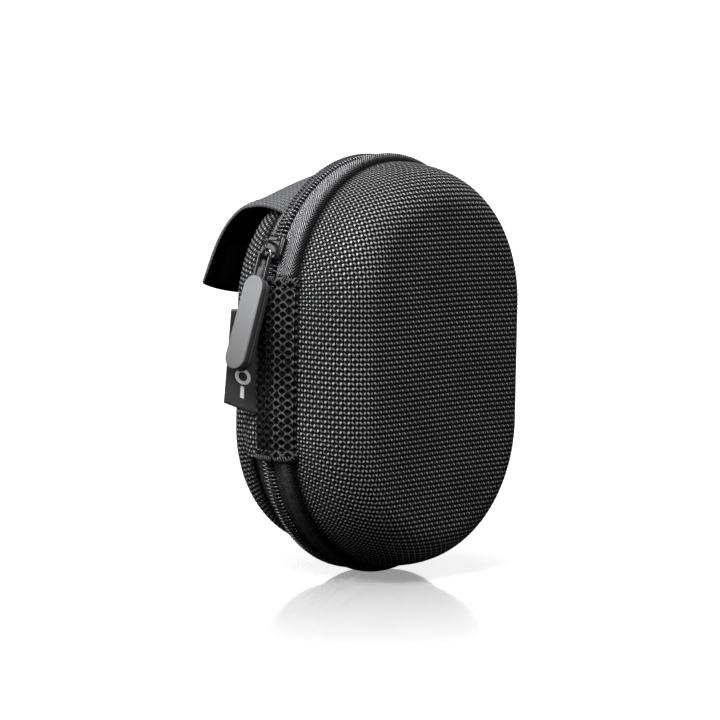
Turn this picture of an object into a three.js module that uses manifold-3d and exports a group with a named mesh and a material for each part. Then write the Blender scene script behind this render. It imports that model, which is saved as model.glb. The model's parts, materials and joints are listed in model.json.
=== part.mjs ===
// Zip-up carrying case for earphones: two moulded half shells with a stadium
// outline, a coil zip round their edge, a sewn side hinge, and a belt flap behind.
// Millimetres, +Z up along the tall side, the front of the case towards -Y.
import * as THREE from "three";
import { mergeVertices } from "three/addons/utils/BufferGeometryUtils.js";
import Module from "manifold-3d";

const wasm = await Module();
wasm.setup();

// Driving dimensions
const caseHeight = 115;
const caseWidth = 82;
const segments = 44; // facets round the outline
const profileSteps = 7; // facets from the seam to the flat of a shell
const gap = 0.3; // between pieces that touch

const frontSeamInset = 1.3;
const frontSeamDepth = 9.2;
const frontCornerInset = 12.5;
const frontDepth = 29.4;
const frontCrown = 0.5; // extra depth of the flat middle over the corner

const backSeamInset = 4.7;
const backSeamDepth = 8.8;
const backCornerInset = 6.6;
const backDepth = 18.3;
const backCrown = 0.3;

const cornerPower = 0.87; // below 1 the side wall is fuller than an ellipse
const flatHalfWidth = 14; // half width of the dead flat middle of a shell

const coverThickness = 0.9; // woven nylon, laminated on the foam
const foamThickness = 3.0;
const liningThickness = 0.7;

const hingeTop = 83.3; // the side strip, measured up the case
const hingeBottom = 33;
const hingeOut = 42.2; // its outer face, from the middle plane
const nearZipTop = 101.3; // the zip below this height bends when the lid opens

const sliderAngle = 23.4; // degrees up the top arc from the hinge side
const sliderLength = 7;
const sliderWidth = 7.6;
const plateThickness = 1.0; // the slider's outer plate
const innerPlateThickness = 0.8;
const plateLift = 0.75; // between the outline and the outer plate
const innerPlateDrop = 2.0; // between the outline and the inner plate
const pullerOffset = 1.4; // the bridge sits this far towards the hinge side
const bridgeHalfLength = 2.8;
const bridgeHalfWidth = 1.0;
const bridgeHeight = 3.4;
const bridgeCorner = 1.6;
const swingLift = 1.55; // the wire's axis, above the outer plate
const wireRadius = 0.55;
const wireSpread = 3.8; // between the two legs of the wire
const tabLength = 26;
const tabWidth = 7;
const tabThickness = 3.4;
const tabStart = 7.6; // from the swing axis to the top of the tab

const labelHeight = 27;
const labelReach = 6.8;
const labelThickness = 1.1;
const labelFoot = [-36.8, 9.6, 47.5]; // its lowest inner corner

const flapHalfWidth = 28;
const flapThickness = 1.2;
const flapHug = 0.2; // how much closer than its seam the flap lies to the shell, sideways
const flapHugStart = 0.14; // share of the flap's length where it lies so
const flapBendEnd = 0.37; // share of the flap's length that bends at its root
const patchThickness = 1.0;
const hookWidthShare = 0.8; // of the flap's width
const hookStart = 0.72; // shares of the flap's length
const hookEnd = 0.97;
const loopHalfWidth = 15;
const loopBottom = 52;
const loopTop = 78;

// Worked out from them
const outlineRadius = caseWidth / 2;
const halfStraight = (caseHeight - caseWidth) / 2;
const middleZ = caseHeight / 2;
const topArcZ = caseHeight - outlineRadius;

const finishes = {
  nylon: { color: 0x1b1c1e, roughness: 0.7, metalness: 0 },
  foam: { color: 0x2a2a2b, roughness: 0.95, metalness: 0 },
  lining: { color: 0x232326, roughness: 0.9, metalness: 0 },
  tape: { color: 0x202123, roughness: 0.8, metalness: 0 },
  coil: { color: 0x141415, roughness: 0.4, metalness: 0 },
  binding: { color: 0x1a1a1b, roughness: 0.85, metalness: 0 },
  strip: { color: 0x161718, roughness: 0.8, metalness: 0 },
  metal: { color: 0x1c1c1e, roughness: 0.3, metalness: 0.8 },
  tab: { color: 0x3a3b3d, roughness: 0.5, metalness: 0 },
  label: { color: 0x151516, roughness: 0.6, metalness: 0 },
  mesh: { color: 0x1d1d1f, roughness: 0.9, metalness: 0 },
  patch: { color: 0x101011, roughness: 1, metalness: 0 },
};

const carryingCase = new THREE.Group();

function addPart(name, shape, finish, parent = carryingCase) {
  const geometry = shape instanceof THREE.BufferGeometry ? shape : geometryOf(shape);
  const mesh = new THREE.Mesh(geometry, new THREE.MeshStandardMaterial(finishes[finish]));
  mesh.name = name;
  parent.add(mesh);
  return mesh;
}

// Solids, for joining and cutting

function solidOf(geometry) {
  const bare = geometry.clone();
  bare.deleteAttribute("normal");
  bare.deleteAttribute("uv");
  const merged = mergeVertices(bare, 1e-4);
  return new wasm.Manifold(
    new wasm.Mesh({
      numProp: 3,
      vertProperties: merged.attributes.position.array,
      triVerts: new Uint32Array(merged.index.array),
    }),
  );
}

function geometryOf(solid) {
  const mesh = solid.getMesh();
  const geometry = new THREE.BufferGeometry();
  geometry.setAttribute("position", new THREE.BufferAttribute(mesh.vertProperties, 3));
  geometry.setIndex(new THREE.BufferAttribute(mesh.triVerts, 1));
  geometry.computeVertexNormals();
  return geometry;
}

// A box from its lowest to its highest corner.
function block(low, high) {
  const size = high.map((value, axis) => value - low[axis]);
  const box = new THREE.BoxGeometry(...size);
  box.translate(...low.map((value, axis) => value + size[axis] / 2));
  return box;
}

// The half of space on the hinge side of the case, between two heights.
function hingeSide(bottom, top) {
  return solidOf(block([-60, -60, bottom], [0, 60, top]));
}

// Bodies of the case: a profile of [inset, y] points, where inset is measured inwards
// from the outline, is turned about the Y axis and pulled apart by the straight length.
function roundTheCase(profile) {
  const corners = profile.map(
    ([inset, y]) => new THREE.Vector2(Math.max(outlineRadius - inset, 0), y),
  );
  const facing = THREE.ShapeUtils.area(corners) < 0 ? corners.toReversed() : corners;
  const points = facing[0].x > 0 ? [...facing, facing[0].clone()] : facing;
  const step = (2 * Math.PI) / segments;
  const turned = new THREE.LatheGeometry(points, segments, step / 2);
  const place = turned.attributes.position;
  for (let i = 0; i < place.count; i += 1) {
    const angle = step / 2 + Math.floor(i / points.length) * step;
    place.setZ(i, place.getZ(i) + Math.sign(Math.cos(angle)) * halfStraight + middleZ);
  }
  return turned;
}

const frontHalf = {
  side: -1,
  seamInset: frontSeamInset,
  seamDepth: frontSeamDepth,
  cornerInset: frontCornerInset,
  depth: frontDepth,
  crown: frontCrown,
};
const backHalf = {
  side: 1,
  seamInset: backSeamInset,
  seamDepth: backSeamDepth,
  cornerInset: backCornerInset,
  depth: backDepth,
  crown: backCrown,
};

// Points of a shell surface that lies `within` millimetres inside the outer face.
function surfaceProfile(half, within, rimStep) {
  const points = [];
  for (let i = 0; i <= profileSteps; i += 1) {
    const turn = ((i / profileSteps) * Math.PI) / 2;
    const across = 1 - Math.pow(Math.cos(turn), cornerPower);
    const along = Math.pow(Math.sin(turn), cornerPower);
    const rim = half.seamDepth + rimStep;
    points.push([
      half.seamInset + within + half.cornerInset * across,
      half.side * (rim + (half.depth - within - rim) * along),
    ]);
  }
  const flat = half.side * (half.depth + half.crown - within);
  points.push([outlineRadius - flatHalfWidth, flat]);
  points.push([outlineRadius, flat]);
  return points;
}

// One moulded layer of a half, open towards the zip.
function bowl(half, within, thickness, rimStep) {
  const outer = surfaceProfile(half, within, rimStep);
  const inner = surfaceProfile(half, within + thickness, rimStep);
  return roundTheCase([...outer.reverse(), ...inner]);
}

for (const [name, half] of [
  ["front", frontHalf],
  ["back", backHalf],
]) {
  const foamDepth = coverThickness + gap;
  const liningDepth = foamDepth + foamThickness + gap;
  addPart(name + "_cover", bowl(half, 0, coverThickness, 0), "nylon");
  addPart(name + "_foam_shell", bowl(half, foamDepth, foamThickness, gap), "foam");
  addPart(name + "_lining", bowl(half, liningDepth, liningThickness, gap), "lining");
}

// Zip: on each half a woven tape, and the coil of teeth that closes against the other.
// The tapes end at the side strip. On the lid, the stretch beside the strip is a
// separate piece, because it bends while the lid swings.
const coilProfile = (side) => [
  [0.1, side * 0.5],
  [0.1, side * 2.1],
  [1.5, side * 2.1],
  [1.5, side * 0.5],
];
const frontTapeProfile = [
  [0.1, -2.4],
  [0.0, -4.6],
  [-0.8, -6.0],
  [-0.9, -7.4],
  [-0.2, -8.6],
  [1.4, -8.9],
  [2.4, -8.4],
  [1.3, -7.3],
  [0.6, -5.9],
  [1.3, -4.7],
  [1.3, -2.4],
];
const backTapeProfile = [
  [0.2, 2.4],
  [1.0, 3.6],
  [2.6, 4.9],
  [3.6, 6.2],
  [4.4, 8.5],
  [5.3, 8.1],
  [4.5, 6.0],
  [3.3, 4.5],
  [1.7, 3.6],
  [1.4, 2.4],
];
const stripRoom = hingeSide(hingeBottom - gap, hingeTop + gap);
const bendRoom = hingeSide(hingeTop + gap, nearZipTop);
const bendRoomWithGap = hingeSide(hingeTop, nearZipTop + gap);

const frontTape = solidOf(roundTheCase(frontTapeProfile));
const frontCoil = solidOf(roundTheCase(coilProfile(-1)));
const lidZip = (ring) => ring.subtract(stripRoom).subtract(bendRoomWithGap);
addPart("front_zip_tape", lidZip(frontTape), "tape");
addPart("front_zip_tape_end", frontTape.intersect(bendRoom), "tape");
addPart("front_zip_coil", lidZip(frontCoil), "coil");
addPart("front_zip_coil_end", frontCoil.intersect(bendRoom), "coil");
addPart("back_zip_tape", solidOf(roundTheCase(backTapeProfile)).subtract(stripRoom), "tape");
addPart("back_zip_coil", solidOf(roundTheCase(coilProfile(1))).subtract(stripRoom), "coil");

// Bindings that cover the raw seams inside, one on each half.
for (const [name, half, inset] of [
  ["front_seam_binding", frontHalf, 2.9],
  ["back_seam_binding", backHalf, 5.7],
]) {
  const near = half.side * (half.seamDepth - 1.7);
  const far = half.side * (half.seamDepth - gap);
  const binding = [
    [inset, near],
    [inset, far],
    [inset + 2.4, far],
    [inset + 2.4, near],
  ];
  addPart(name, roundTheCase(binding), "binding");
}

// Side hinge: a strip sewn over the gap between the halves, with a lining behind it.
const hingeRoom = hingeSide(hingeBottom, hingeTop);
const stripInset = outlineRadius - hingeOut;
const stripProfile = [
  [1.1, -10.1],
  [-0.2, -8.9],
  [stripInset + 0.1, -4],
  [stripInset, 0],
  [stripInset + 0.5, 4],
  [0.5, 6.7],
  [2.7, 9.0],
  [3.4, 8.3],
  [1.3, 6.0],
  [stripInset + 1.4, 3.8],
  [stripInset + 0.9, 0],
  [stripInset + 1.0, -4],
  [0.7, -8.2],
];
addPart("hinge_strip", solidOf(roundTheCase(stripProfile)).intersect(hingeRoom), "strip");
const stripLiningProfile = [
  [1.0, -7.3],
  [0.2, -4],
  [0.2, 3.6],
  [1.7, 6.0],
  [2.4, 5.4],
  [1.1, 3.2],
  [1.1, -3.8],
  [1.9, -7.0],
];
addPart("hinge_lining", solidOf(roundTheCase(stripLiningProfile)).intersect(hingeRoom), "lining");

// Lid pocket: a net over the lower part of the lid's lining, with an elastic top edge.
const pocketTop = 70;
const elasticWidth = 5;
const netDepth = frontDepth - 8.4;
const netInset = frontSeamInset + frontCornerInset + 3;
function pocketLayer(thickness, bottom, top) {
  const disc = roundTheCase([
    [outlineRadius, -netDepth],
    [netInset, -netDepth],
    [netInset, -netDepth + thickness],
    [outlineRadius, -netDepth + thickness],
  ]);
  return solidOf(disc).intersect(solidOf(block([-60, -60, bottom], [60, 0, top])));
}
addPart("pocket_net", pocketLayer(0.6, 0, pocketTop), "mesh");
addPart("pocket_elastic", pocketLayer(1.2, pocketTop + gap, pocketTop + gap + elasticWidth), "binding");

// Zip slider, in a frame whose Z axis points out of the arc at its place and whose
// X axis points along the zip, away from the hinge side.
const sliderFrame = new THREE.Group();
sliderFrame.position.z = topArcZ;
sliderFrame.rotation.y = THREE.MathUtils.degToRad(sliderAngle - 90);
carryingCase.add(sliderFrame);

const plateBottom = outlineRadius + plateLift;
const plateTop = plateBottom + plateThickness;
const innerPlateTop = outlineRadius - innerPlateDrop;
const innerPlateBottom = innerPlateTop - innerPlateThickness;
const swingRadius = plateTop + swingLift;

function roundedPlate(length, width, bottom, top) {
  const radius = 1.5;
  const halfLength = length / 2 - radius;
  const halfWidth = width / 2 - radius;
  const outline = new THREE.Shape();
  outline.absarc(halfLength, halfWidth, radius, 0, Math.PI / 2);
  outline.absarc(-halfLength, halfWidth, radius, Math.PI / 2, Math.PI);
  outline.absarc(-halfLength, -halfWidth, radius, Math.PI, 1.5 * Math.PI);
  outline.absarc(halfLength, -halfWidth, radius, 1.5 * Math.PI, 2 * Math.PI);
  const plate = new THREE.ExtrudeGeometry(outline, {
    depth: top - bottom,
    bevelEnabled: false,
    curveSegments: 4,
  });
  plate.translate(0, 0, bottom);
  return solidOf(plate);
}

// The bridge is an arch over the plate, with the hole that the wire runs through.
function bridgeSolid() {
  const holeHalfLength = bridgeHalfLength - 1.0;
  const holeHalfHeight = 1.0;
  const sunk = 0.3; // into the plate, so that the two join
  const shoulder = bridgeHeight - bridgeCorner;
  const arch = new THREE.Shape();
  arch.moveTo(-bridgeHalfLength, -sunk);
  arch.lineTo(bridgeHalfLength, -sunk);
  arch.lineTo(bridgeHalfLength, shoulder);
  arch.quadraticCurveTo(
    bridgeHalfLength, bridgeHeight, bridgeHalfLength - bridgeCorner, bridgeHeight,
  );
  arch.lineTo(-bridgeHalfLength + bridgeCorner, bridgeHeight);
  arch.quadraticCurveTo(-bridgeHalfLength, bridgeHeight, -bridgeHalfLength, shoulder);
  arch.closePath();
  const hole = new THREE.Path();
  hole.absellipse(0, swingLift, holeHalfLength, holeHalfHeight, 0, 2 * Math.PI);
  arch.holes.push(hole);
  const bridge = new THREE.ExtrudeGeometry(arch, {
    depth: 2 * bridgeHalfWidth,
    bevelEnabled: false,
    curveSegments: 6,
  });
  bridge.translate(0, 0, -bridgeHalfWidth);
  bridge.rotateX(Math.PI / 2);
  bridge.translate(-pullerOffset, 0, plateTop);
  return solidOf(bridge);
}

// The neck joins the two plates between the coils.
function neckSolid() {
  const halfThickness = 0.2;
  const [start, end] = [0.8, 2.8];
  const low = [start, -halfThickness, innerPlateTop - gap / 2];
  const high = [end, halfThickness, plateBottom + gap / 2];
  return solidOf(block(low, high));
}

// A rail turned down from one long edge of the outer plate.
function railSolid(side) {
  const railHalfLength = 2.2;
  const railThickness = 0.8;
  const railDrop = 0.4;
  const ends = [side * (sliderWidth / 2 - railThickness), (side * sliderWidth) / 2];
  const low = [-railHalfLength, Math.min(...ends), plateBottom - railDrop];
  const high = [railHalfLength, Math.max(...ends), plateBottom + gap / 2];
  return solidOf(block(low, high));
}

const innerPlateWidth = sliderWidth - 0.6;
const sliderPieces = [
  roundedPlate(sliderLength, sliderWidth, plateBottom, plateTop),
  roundedPlate(sliderLength, innerPlateWidth, innerPlateBottom, innerPlateTop),
  neckSolid(),
  railSolid(-1),
  railSolid(1),
  bridgeSolid(),
];
addPart("zip_slider", wasm.Manifold.union(sliderPieces), "metal", sliderFrame);

// Puller: a wire ring through the bridge, moulded into a rubber tab. It hangs down
// from the swing axis, leaning a little outwards and backwards.
const swingAngle = THREE.MathUtils.degToRad(sliderAngle);
const pullerFrame = new THREE.Group();
pullerFrame.position.set(
  -swingRadius * Math.cos(swingAngle) - pullerOffset * Math.sin(swingAngle),
  0,
  topArcZ + swingRadius * Math.sin(swingAngle) - pullerOffset * Math.cos(swingAngle),
);
const hangs = new THREE.Vector3(-0.25, 0.1, -1).normalize();
const up = hangs.clone().negate();
const wide = new THREE.Vector3(0, 1, 0).addScaledVector(up, -up.y).normalize();
const out = new THREE.Vector3().crossVectors(wide, up);
pullerFrame.quaternion.setFromRotationMatrix(new THREE.Matrix4().makeBasis(out, wide, up));
carryingCase.add(pullerFrame);

const wireEmbedded = 2.6;
function wireRing(radius) {
  const half = wireSpread / 2;
  const bottom = -(tabStart + wireEmbedded);
  const bend = 1.2;
  const route = new THREE.CurvePath();
  const corners = [
    [half, 0],
    [-half, 0],
    [-half, bottom],
    [half, bottom],
  ];
  corners.forEach(([y, z], i) => {
    const [nextY, nextZ] = corners[(i + 1) % 4];
    const [afterY, afterZ] = corners[(i + 2) % 4];
    const run = Math.hypot(nextY - y, nextZ - z);
    const alongY = (nextY - y) / run;
    const alongZ = (nextZ - z) / run;
    const turnRun = Math.hypot(afterY - nextY, afterZ - nextZ);
    const turnY = (afterY - nextY) / turnRun;
    const turnZ = (afterZ - nextZ) / turnRun;
    const start = new THREE.Vector3(0, y + alongY * bend, z + alongZ * bend);
    const corner = new THREE.Vector3(0, nextY, nextZ);
    const before = new THREE.Vector3(0, nextY - alongY * bend, nextZ - alongZ * bend);
    const after = new THREE.Vector3(0, nextY + turnY * bend, nextZ + turnZ * bend);
    route.add(new THREE.LineCurve3(start, before));
    route.add(new THREE.QuadraticBezierCurve3(before, corner, after));
  });
  const points = route.getSpacedPoints(48).slice(0, -1);
  const section = new THREE.Shape();
  section.absarc(0, 0, radius, 0, 2 * Math.PI);
  return solidOf(
    new THREE.ExtrudeGeometry(section, {
      steps: 48,
      curveSegments: 4,
      bevelEnabled: false,
      extrudePath: new THREE.CatmullRomCurve3(points, true),
    }),
  );
}

function tabSolid() {
  const half = tabWidth / 2;
  const outline = new THREE.Shape();
  const bottom = -(tabLength - half);
  outline.absarc(0, -half, half - 0.2, 0, Math.PI);
  outline.absarc(0, bottom, half + 0.15, Math.PI, 2 * Math.PI);
  outline.closePath();
  const bevel = 0.9;
  const tab = new THREE.ExtrudeGeometry(outline, {
    depth: tabThickness - 2 * bevel,
    bevelThickness: bevel,
    bevelSize: bevel,
    bevelOffset: -bevel,
    bevelSegments: 2,
    curveSegments: 8,
  });
  tab.translate(0, 0, -tabThickness / 2 + bevel);
  // from the XY plane to the plane of the wire ring, the length along Z
  tab.rotateX(Math.PI / 2);
  tab.rotateZ(Math.PI / 2);
  tab.translate(0, 0, -tabStart);
  return solidOf(tab);
}
addPart("puller_wire", wireRing(wireRadius), "metal", pullerFrame);
addPart("pull_tab", tabSolid().subtract(wireRing(wireRadius + gap)), "tab", pullerFrame);

// Side label: a folded ribbon caught in the rear seam, standing out from the case.
const label = block([0, 0, 0], [labelReach, labelThickness, labelHeight]);
label.rotateZ(THREE.MathUtils.degToRad(135));
label.translate(...labelFoot);
addPart("side_label", label, "label");

// Belt flap: a wide strap that leaves the rear seam along the top arc, runs back over
// the case and hangs down behind it. Side edges and middle line each have a profile.
const flapEdge = new THREE.CatmullRomCurve3(
  [
    [6.1, 100.4],
    [9.5, 101.2],
    [13.5, 101.6],
    [17.5, 101.2],
    [22.6, 99.3],
    [29.2, 92.4],
    [36.3, 78.4],
  ].map(([y, z]) => new THREE.Vector3(0, y, z)),
);
const flapMiddle = new THREE.CatmullRomCurve3(
  [
    [6.1, 112.5],
    [10, 111.6],
    [13, 110.9],
    [16.5, 109.3],
    [20, 106.8],
    [25, 103.6],
    [31, 99.5],
    [37, 91.5],
    [40, 83],
    [40.6, 74.3],
  ].map(([y, z]) => new THREE.Vector3(0, y, z)),
);
// Its root follows the round top, so it crosses the case as an arc of this radius.
const flapArc = outlineRadius - backSeamInset + 1.7;
const rise = (across) => flapArc - Math.sqrt(flapArc ** 2 - (across * flapHalfWidth) ** 2);
// A point of the flap's middle surface: across from -1 to 1, along from 0 to 1.
function flapPoint(across, along) {
  const middle = flapMiddle.getPointAt(along);
  const edge = flapEdge.getPointAt(along);
  const hug = flapHug * Math.min(along / flapHugStart, 1);
  const point = middle.lerp(edge, Math.pow(rise(across) / rise(1), 1 - hug));
  point.x = across * flapHalfWidth;
  return point;
}
// A sheet that follows the flap, `above` it by a distance along the outward normal.
function flapSheet(widthShare, from, to, thickness, above) {
  const sheet = new THREE.BoxGeometry(2, 1, thickness, 12, Math.ceil((to - from) * 14), 1);
  const place = sheet.attributes.position;
  const step = 1e-3;
  for (let i = 0; i < place.count; i += 1) {
    const across = place.getX(i) * widthShare;
    const along = from + (to - from) * (0.5 + place.getY(i));
    const inside = Math.min(Math.max(along, step), 1 - step);
    const point = flapPoint(across, along);
    const sideways = flapPoint(across + step, inside).sub(flapPoint(across - step, inside));
    const onwards = flapPoint(across, inside + step).sub(flapPoint(across, inside - step));
    const normal = sideways.cross(onwards).normalize();
    point.addScaledVector(normal, place.getZ(i) + above);
    place.setXYZ(i, point.x, point.y, point.z);
  }
  return sheet;
}
const splitGap = 0.004;
addPart("belt_flap_root", flapSheet(1, 0, flapBendEnd - splitGap, flapThickness, 0), "strip");
addPart("belt_flap", flapSheet(1, flapBendEnd + splitGap, 1, flapThickness, 0), "strip");

// Hook patch under the flap's free end, and the loop patch that it presses on.
const patchBelow = -(flapThickness / 2 + gap + patchThickness / 2);
const hookPatch = flapSheet(hookWidthShare, hookStart, hookEnd, patchThickness, patchBelow);
addPart("hook_patch", hookPatch, "patch");
const loopFace = backDepth + backCrown + gap;
const loopLow = [-loopHalfWidth, loopFace, loopBottom];
const loopHigh = [loopHalfWidth, loopFace + patchThickness, loopTop];
addPart("loop_patch", block(loopLow, loopHigh), "patch");

// The origin is under the middle of the whole case's box.
const box = new THREE.Box3().setFromObject(carryingCase, true);
carryingCase.position.set(
  -(box.min.x + box.max.x) / 2,
  -(box.min.y + box.max.y) / 2,
  -box.min.z,
);

export default carryingCase;
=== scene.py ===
# Small zip-up carrying case: two moulded shells in woven nylon, a coil zip round the
# edge, a sewn hinge on one side, and a belt flap behind. It is put together here from
# the shells outwards. Sizes are in millimetres until a mesh is made.
import json
import math

import bmesh
import bpy
import numpy as np
from mathutils import Matrix, Vector


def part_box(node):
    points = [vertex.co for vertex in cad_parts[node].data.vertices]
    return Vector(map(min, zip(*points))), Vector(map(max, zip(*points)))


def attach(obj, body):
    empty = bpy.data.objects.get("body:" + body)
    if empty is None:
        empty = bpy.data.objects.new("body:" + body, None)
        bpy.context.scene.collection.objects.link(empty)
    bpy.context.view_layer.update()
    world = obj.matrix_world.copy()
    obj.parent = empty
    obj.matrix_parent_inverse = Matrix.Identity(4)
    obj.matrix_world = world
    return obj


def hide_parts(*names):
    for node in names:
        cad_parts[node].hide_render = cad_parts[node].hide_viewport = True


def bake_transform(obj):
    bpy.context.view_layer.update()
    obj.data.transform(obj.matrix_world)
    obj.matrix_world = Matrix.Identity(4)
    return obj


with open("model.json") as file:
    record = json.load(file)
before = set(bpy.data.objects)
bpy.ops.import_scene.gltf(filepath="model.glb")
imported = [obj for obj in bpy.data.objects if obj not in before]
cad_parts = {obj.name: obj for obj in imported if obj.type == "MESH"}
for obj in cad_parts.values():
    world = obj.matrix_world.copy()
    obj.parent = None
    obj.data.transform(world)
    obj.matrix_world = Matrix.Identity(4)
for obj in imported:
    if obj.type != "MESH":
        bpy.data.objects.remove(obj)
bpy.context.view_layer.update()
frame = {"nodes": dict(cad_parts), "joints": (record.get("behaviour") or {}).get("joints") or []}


# ---------------------------------------------------------------- studio and camera
# A white room that hardly lights the case, a bright soft box high on the left, and
# weaker ones overhead, in front and behind. The camera stands a little above the
# case's middle, and looks at the hinge side and the lid.
MM = 0.001
joints = {joint["name"]: joint for joint in frame["joints"]}
arc_centre = np.array(joints["zip_slider_travel"]["pos_m"]) / MM
binding_low, binding_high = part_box("front_seam_binding")
case_centre = np.array([arc_centre[0], arc_centre[1], (binding_low.z + binding_high.z) / 2 / MM])

camera_azimuth = math.radians(-48.997)
camera_height = math.radians(5.363)
camera_roll = math.radians(0.852)
camera_distance = 900
camera_aim = (-1.389, 0.338)  # sideways and up, from the case's centre
focal_length = 160.3

back = np.array(
    [
        math.sin(camera_azimuth) * math.cos(camera_height),
        -math.cos(camera_azimuth) * math.cos(camera_height),
        math.sin(camera_height),
    ]
)
right = np.array([math.cos(camera_azimuth), math.sin(camera_azimuth), 0])
above = np.cross(back, right)
stand = case_centre + camera_distance * back + camera_aim[0] * right + camera_aim[1] * above
rolled_right = math.cos(camera_roll) * right + math.sin(camera_roll) * above
rolled_above = math.cos(camera_roll) * above - math.sin(camera_roll) * right
camera_data = bpy.data.cameras.new("camera")
camera_data.lens = focal_length
camera_data.sensor_width = 36
camera_data.clip_start = 0.01
camera_data.clip_end = 10
camera = bpy.data.objects.new("camera", camera_data)
bpy.context.scene.collection.objects.link(camera)
turned = Matrix([rolled_right, rolled_above, back]).transposed().to_4x4()
camera.matrix_world = Matrix.Translation(Vector(stand * MM)) @ turned
bpy.context.scene.camera = camera
bpy.context.scene.view_settings.view_transform = "Standard"


def soft_box(name, azimuth, height, distance, size, power, only=None):
    """A square lamp that looks at the case from an azimuth and a height in degrees."""
    azimuth, height = math.radians(azimuth), math.radians(height)
    lamp = bpy.data.lights.new(name, "AREA")
    lamp.shape = "RECTANGLE"
    lamp.size, lamp.size_y = size
    lamp.energy = power
    holder = bpy.data.objects.new(name, lamp)
    away = Vector(
        (
            math.sin(azimuth) * math.cos(height),
            -math.cos(azimuth) * math.cos(height),
            math.sin(height),
        )
    )
    holder.location = Vector(case_centre * MM) + away * distance
    holder.rotation_euler = away.to_track_quat("Z", "Y").to_euler()
    bpy.context.scene.collection.objects.link(holder)
    if only is not None:
        lit = bpy.data.collections.new(name + "_lights")
        lit.objects.link(only)
        holder.light_linking.receiver_collection = lit


soft_box("left_soft_box", -84, 49, 0.8, (0.3, 0.3), 13.2)
soft_box("top_soft_box", -35, 76, 0.8, (0.4, 0.4), 5.6)
soft_box("front_soft_box", -30, 28, 1.1, (0.4, 0.4), 7)
soft_box("back_soft_box", -140, 15, 0.9, (0.3, 0.6), 6)

room = bpy.data.worlds.new("room")
bpy.context.scene.world = room
room.use_nodes = True
room_tree = room.node_tree
room_tree.nodes.clear()
seen_wall = room_tree.nodes.new("ShaderNodeBackground")
seen_wall.inputs["Color"].default_value = (1, 1, 1, 1)
seen_wall.inputs["Strength"].default_value = 1.05
dim_wall = room_tree.nodes.new("ShaderNodeBackground")
dim_wall.inputs["Color"].default_value = (1, 1, 1, 1)
dim_wall.inputs["Strength"].default_value = 0.02
ray = room_tree.nodes.new("ShaderNodeLightPath")
which_wall = room_tree.nodes.new("ShaderNodeMixShader")
room_out = room_tree.nodes.new("ShaderNodeOutputWorld")
room_tree.links.new(ray.outputs["Is Camera Ray"], which_wall.inputs["Fac"])
room_tree.links.new(dim_wall.outputs[0], which_wall.inputs[1])
room_tree.links.new(seen_wall.outputs[0], which_wall.inputs[2])
room_tree.links.new(which_wall.outputs[0], room_out.inputs["Surface"])


# ------------------------------------------------------------------------- the floor
# One big pale board, smooth enough to mirror the foot of the case faintly. It glows
# away from the case, so that it runs into the white room without an edge.
class Strand:
    """One value in a finish's node tree, on which Python's operators work."""

    def __init__(self, finish, socket):
        self.finish, self.socket = finish, socket

    def math(self, operation, *others):
        return self.finish.math(operation, self, *others)

    def __add__(self, other):
        return self.math("ADD", other)

    __radd__ = __add__

    def __sub__(self, other):
        return self.math("SUBTRACT", other)

    def __rsub__(self, other):
        return self.finish.math("SUBTRACT", other, self)

    def __mul__(self, other):
        return self.math("MULTIPLY", other)

    __rmul__ = __mul__

    def __truediv__(self, other):
        return self.math("DIVIDE", other)

    def __pow__(self, other):
        return self.math("POWER", other)


class Finish:
    """A material: its Principled shader's fixed values, and the nodes that vary it."""

    def __init__(self, name, fixed):
        self.material = bpy.data.materials.new(name)
        self.material.use_nodes = True
        self.tree = self.material.node_tree
        self.shader = self.tree.nodes["Principled BSDF"]
        for socket, value in fixed.items():
            self.shader.inputs[socket].default_value = value

    def connect(self, socket, value):
        if isinstance(value, Strand):
            self.tree.links.new(value.socket, socket)
        else:
            socket.default_value = value

    def node(self, kind, settings=None, values=None, output=0):
        """A node with its settings made first, then its sockets' values or links."""
        made = self.tree.nodes.new("ShaderNode" + kind)
        for setting, value in (settings or {}).items():
            if setting == "stops":
                for stop in range(2, len(value)):
                    made.color_ramp.elements.new(value[stop][0])
                for element, (place, colour) in zip(made.color_ramp.elements, value):
                    element.position, element.color = place, colour
            else:
                setattr(made, setting, value)
        for socket, value in (values or {}).items():
            self.connect(made.inputs[socket], value)
        return Strand(self, made.outputs[output])

    def math(self, operation, *values):
        return self.node("Math", {"operation": operation}, dict(enumerate(values)))

    def mix(self, share, low, high):
        """A colour between two."""
        return self.node("Mix", {"data_type": "RGBA"}, {0: share, 6: low, 7: high}, 2)

    def spread(self, value, low, high, to_low=0.0, to_high=1.0):
        """Value, taken from the range low to high to another one, and held there."""
        ends = {1: low, 2: high, 3: to_low, 4: to_high}
        return self.node("MapRange", {"clamp": True}, {0: value, **ends})

    def noise(self, scale, detail=2.0, vector=None):
        values = {"Scale": scale, "Detail": detail}
        if vector is not None:
            values["Vector"] = vector
        else:
            values["Vector"] = self.node("TexCoord", output="Object")
        return self.node("TexNoise", {}, values)

    def cloth_place(self):
        """Millimetres across and along the cloth."""
        place = self.node("UVMap", {"uv_map": "cloth"})
        split = self.node("SeparateXYZ", {}, {0: place})
        return split, Strand(self, split.socket.node.outputs[1])

    def bump(self, height, distance, strength=1.0):
        values = {"Height": height, "Distance": distance, "Strength": strength}
        return self.node("Bump", {}, values)

    def wear(self, **sockets):
        """Links the shader's sockets, named with _ for a space."""
        for name, value in sockets.items():
            self.connect(self.shader.inputs[name.replace("_", " ")], value)


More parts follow.
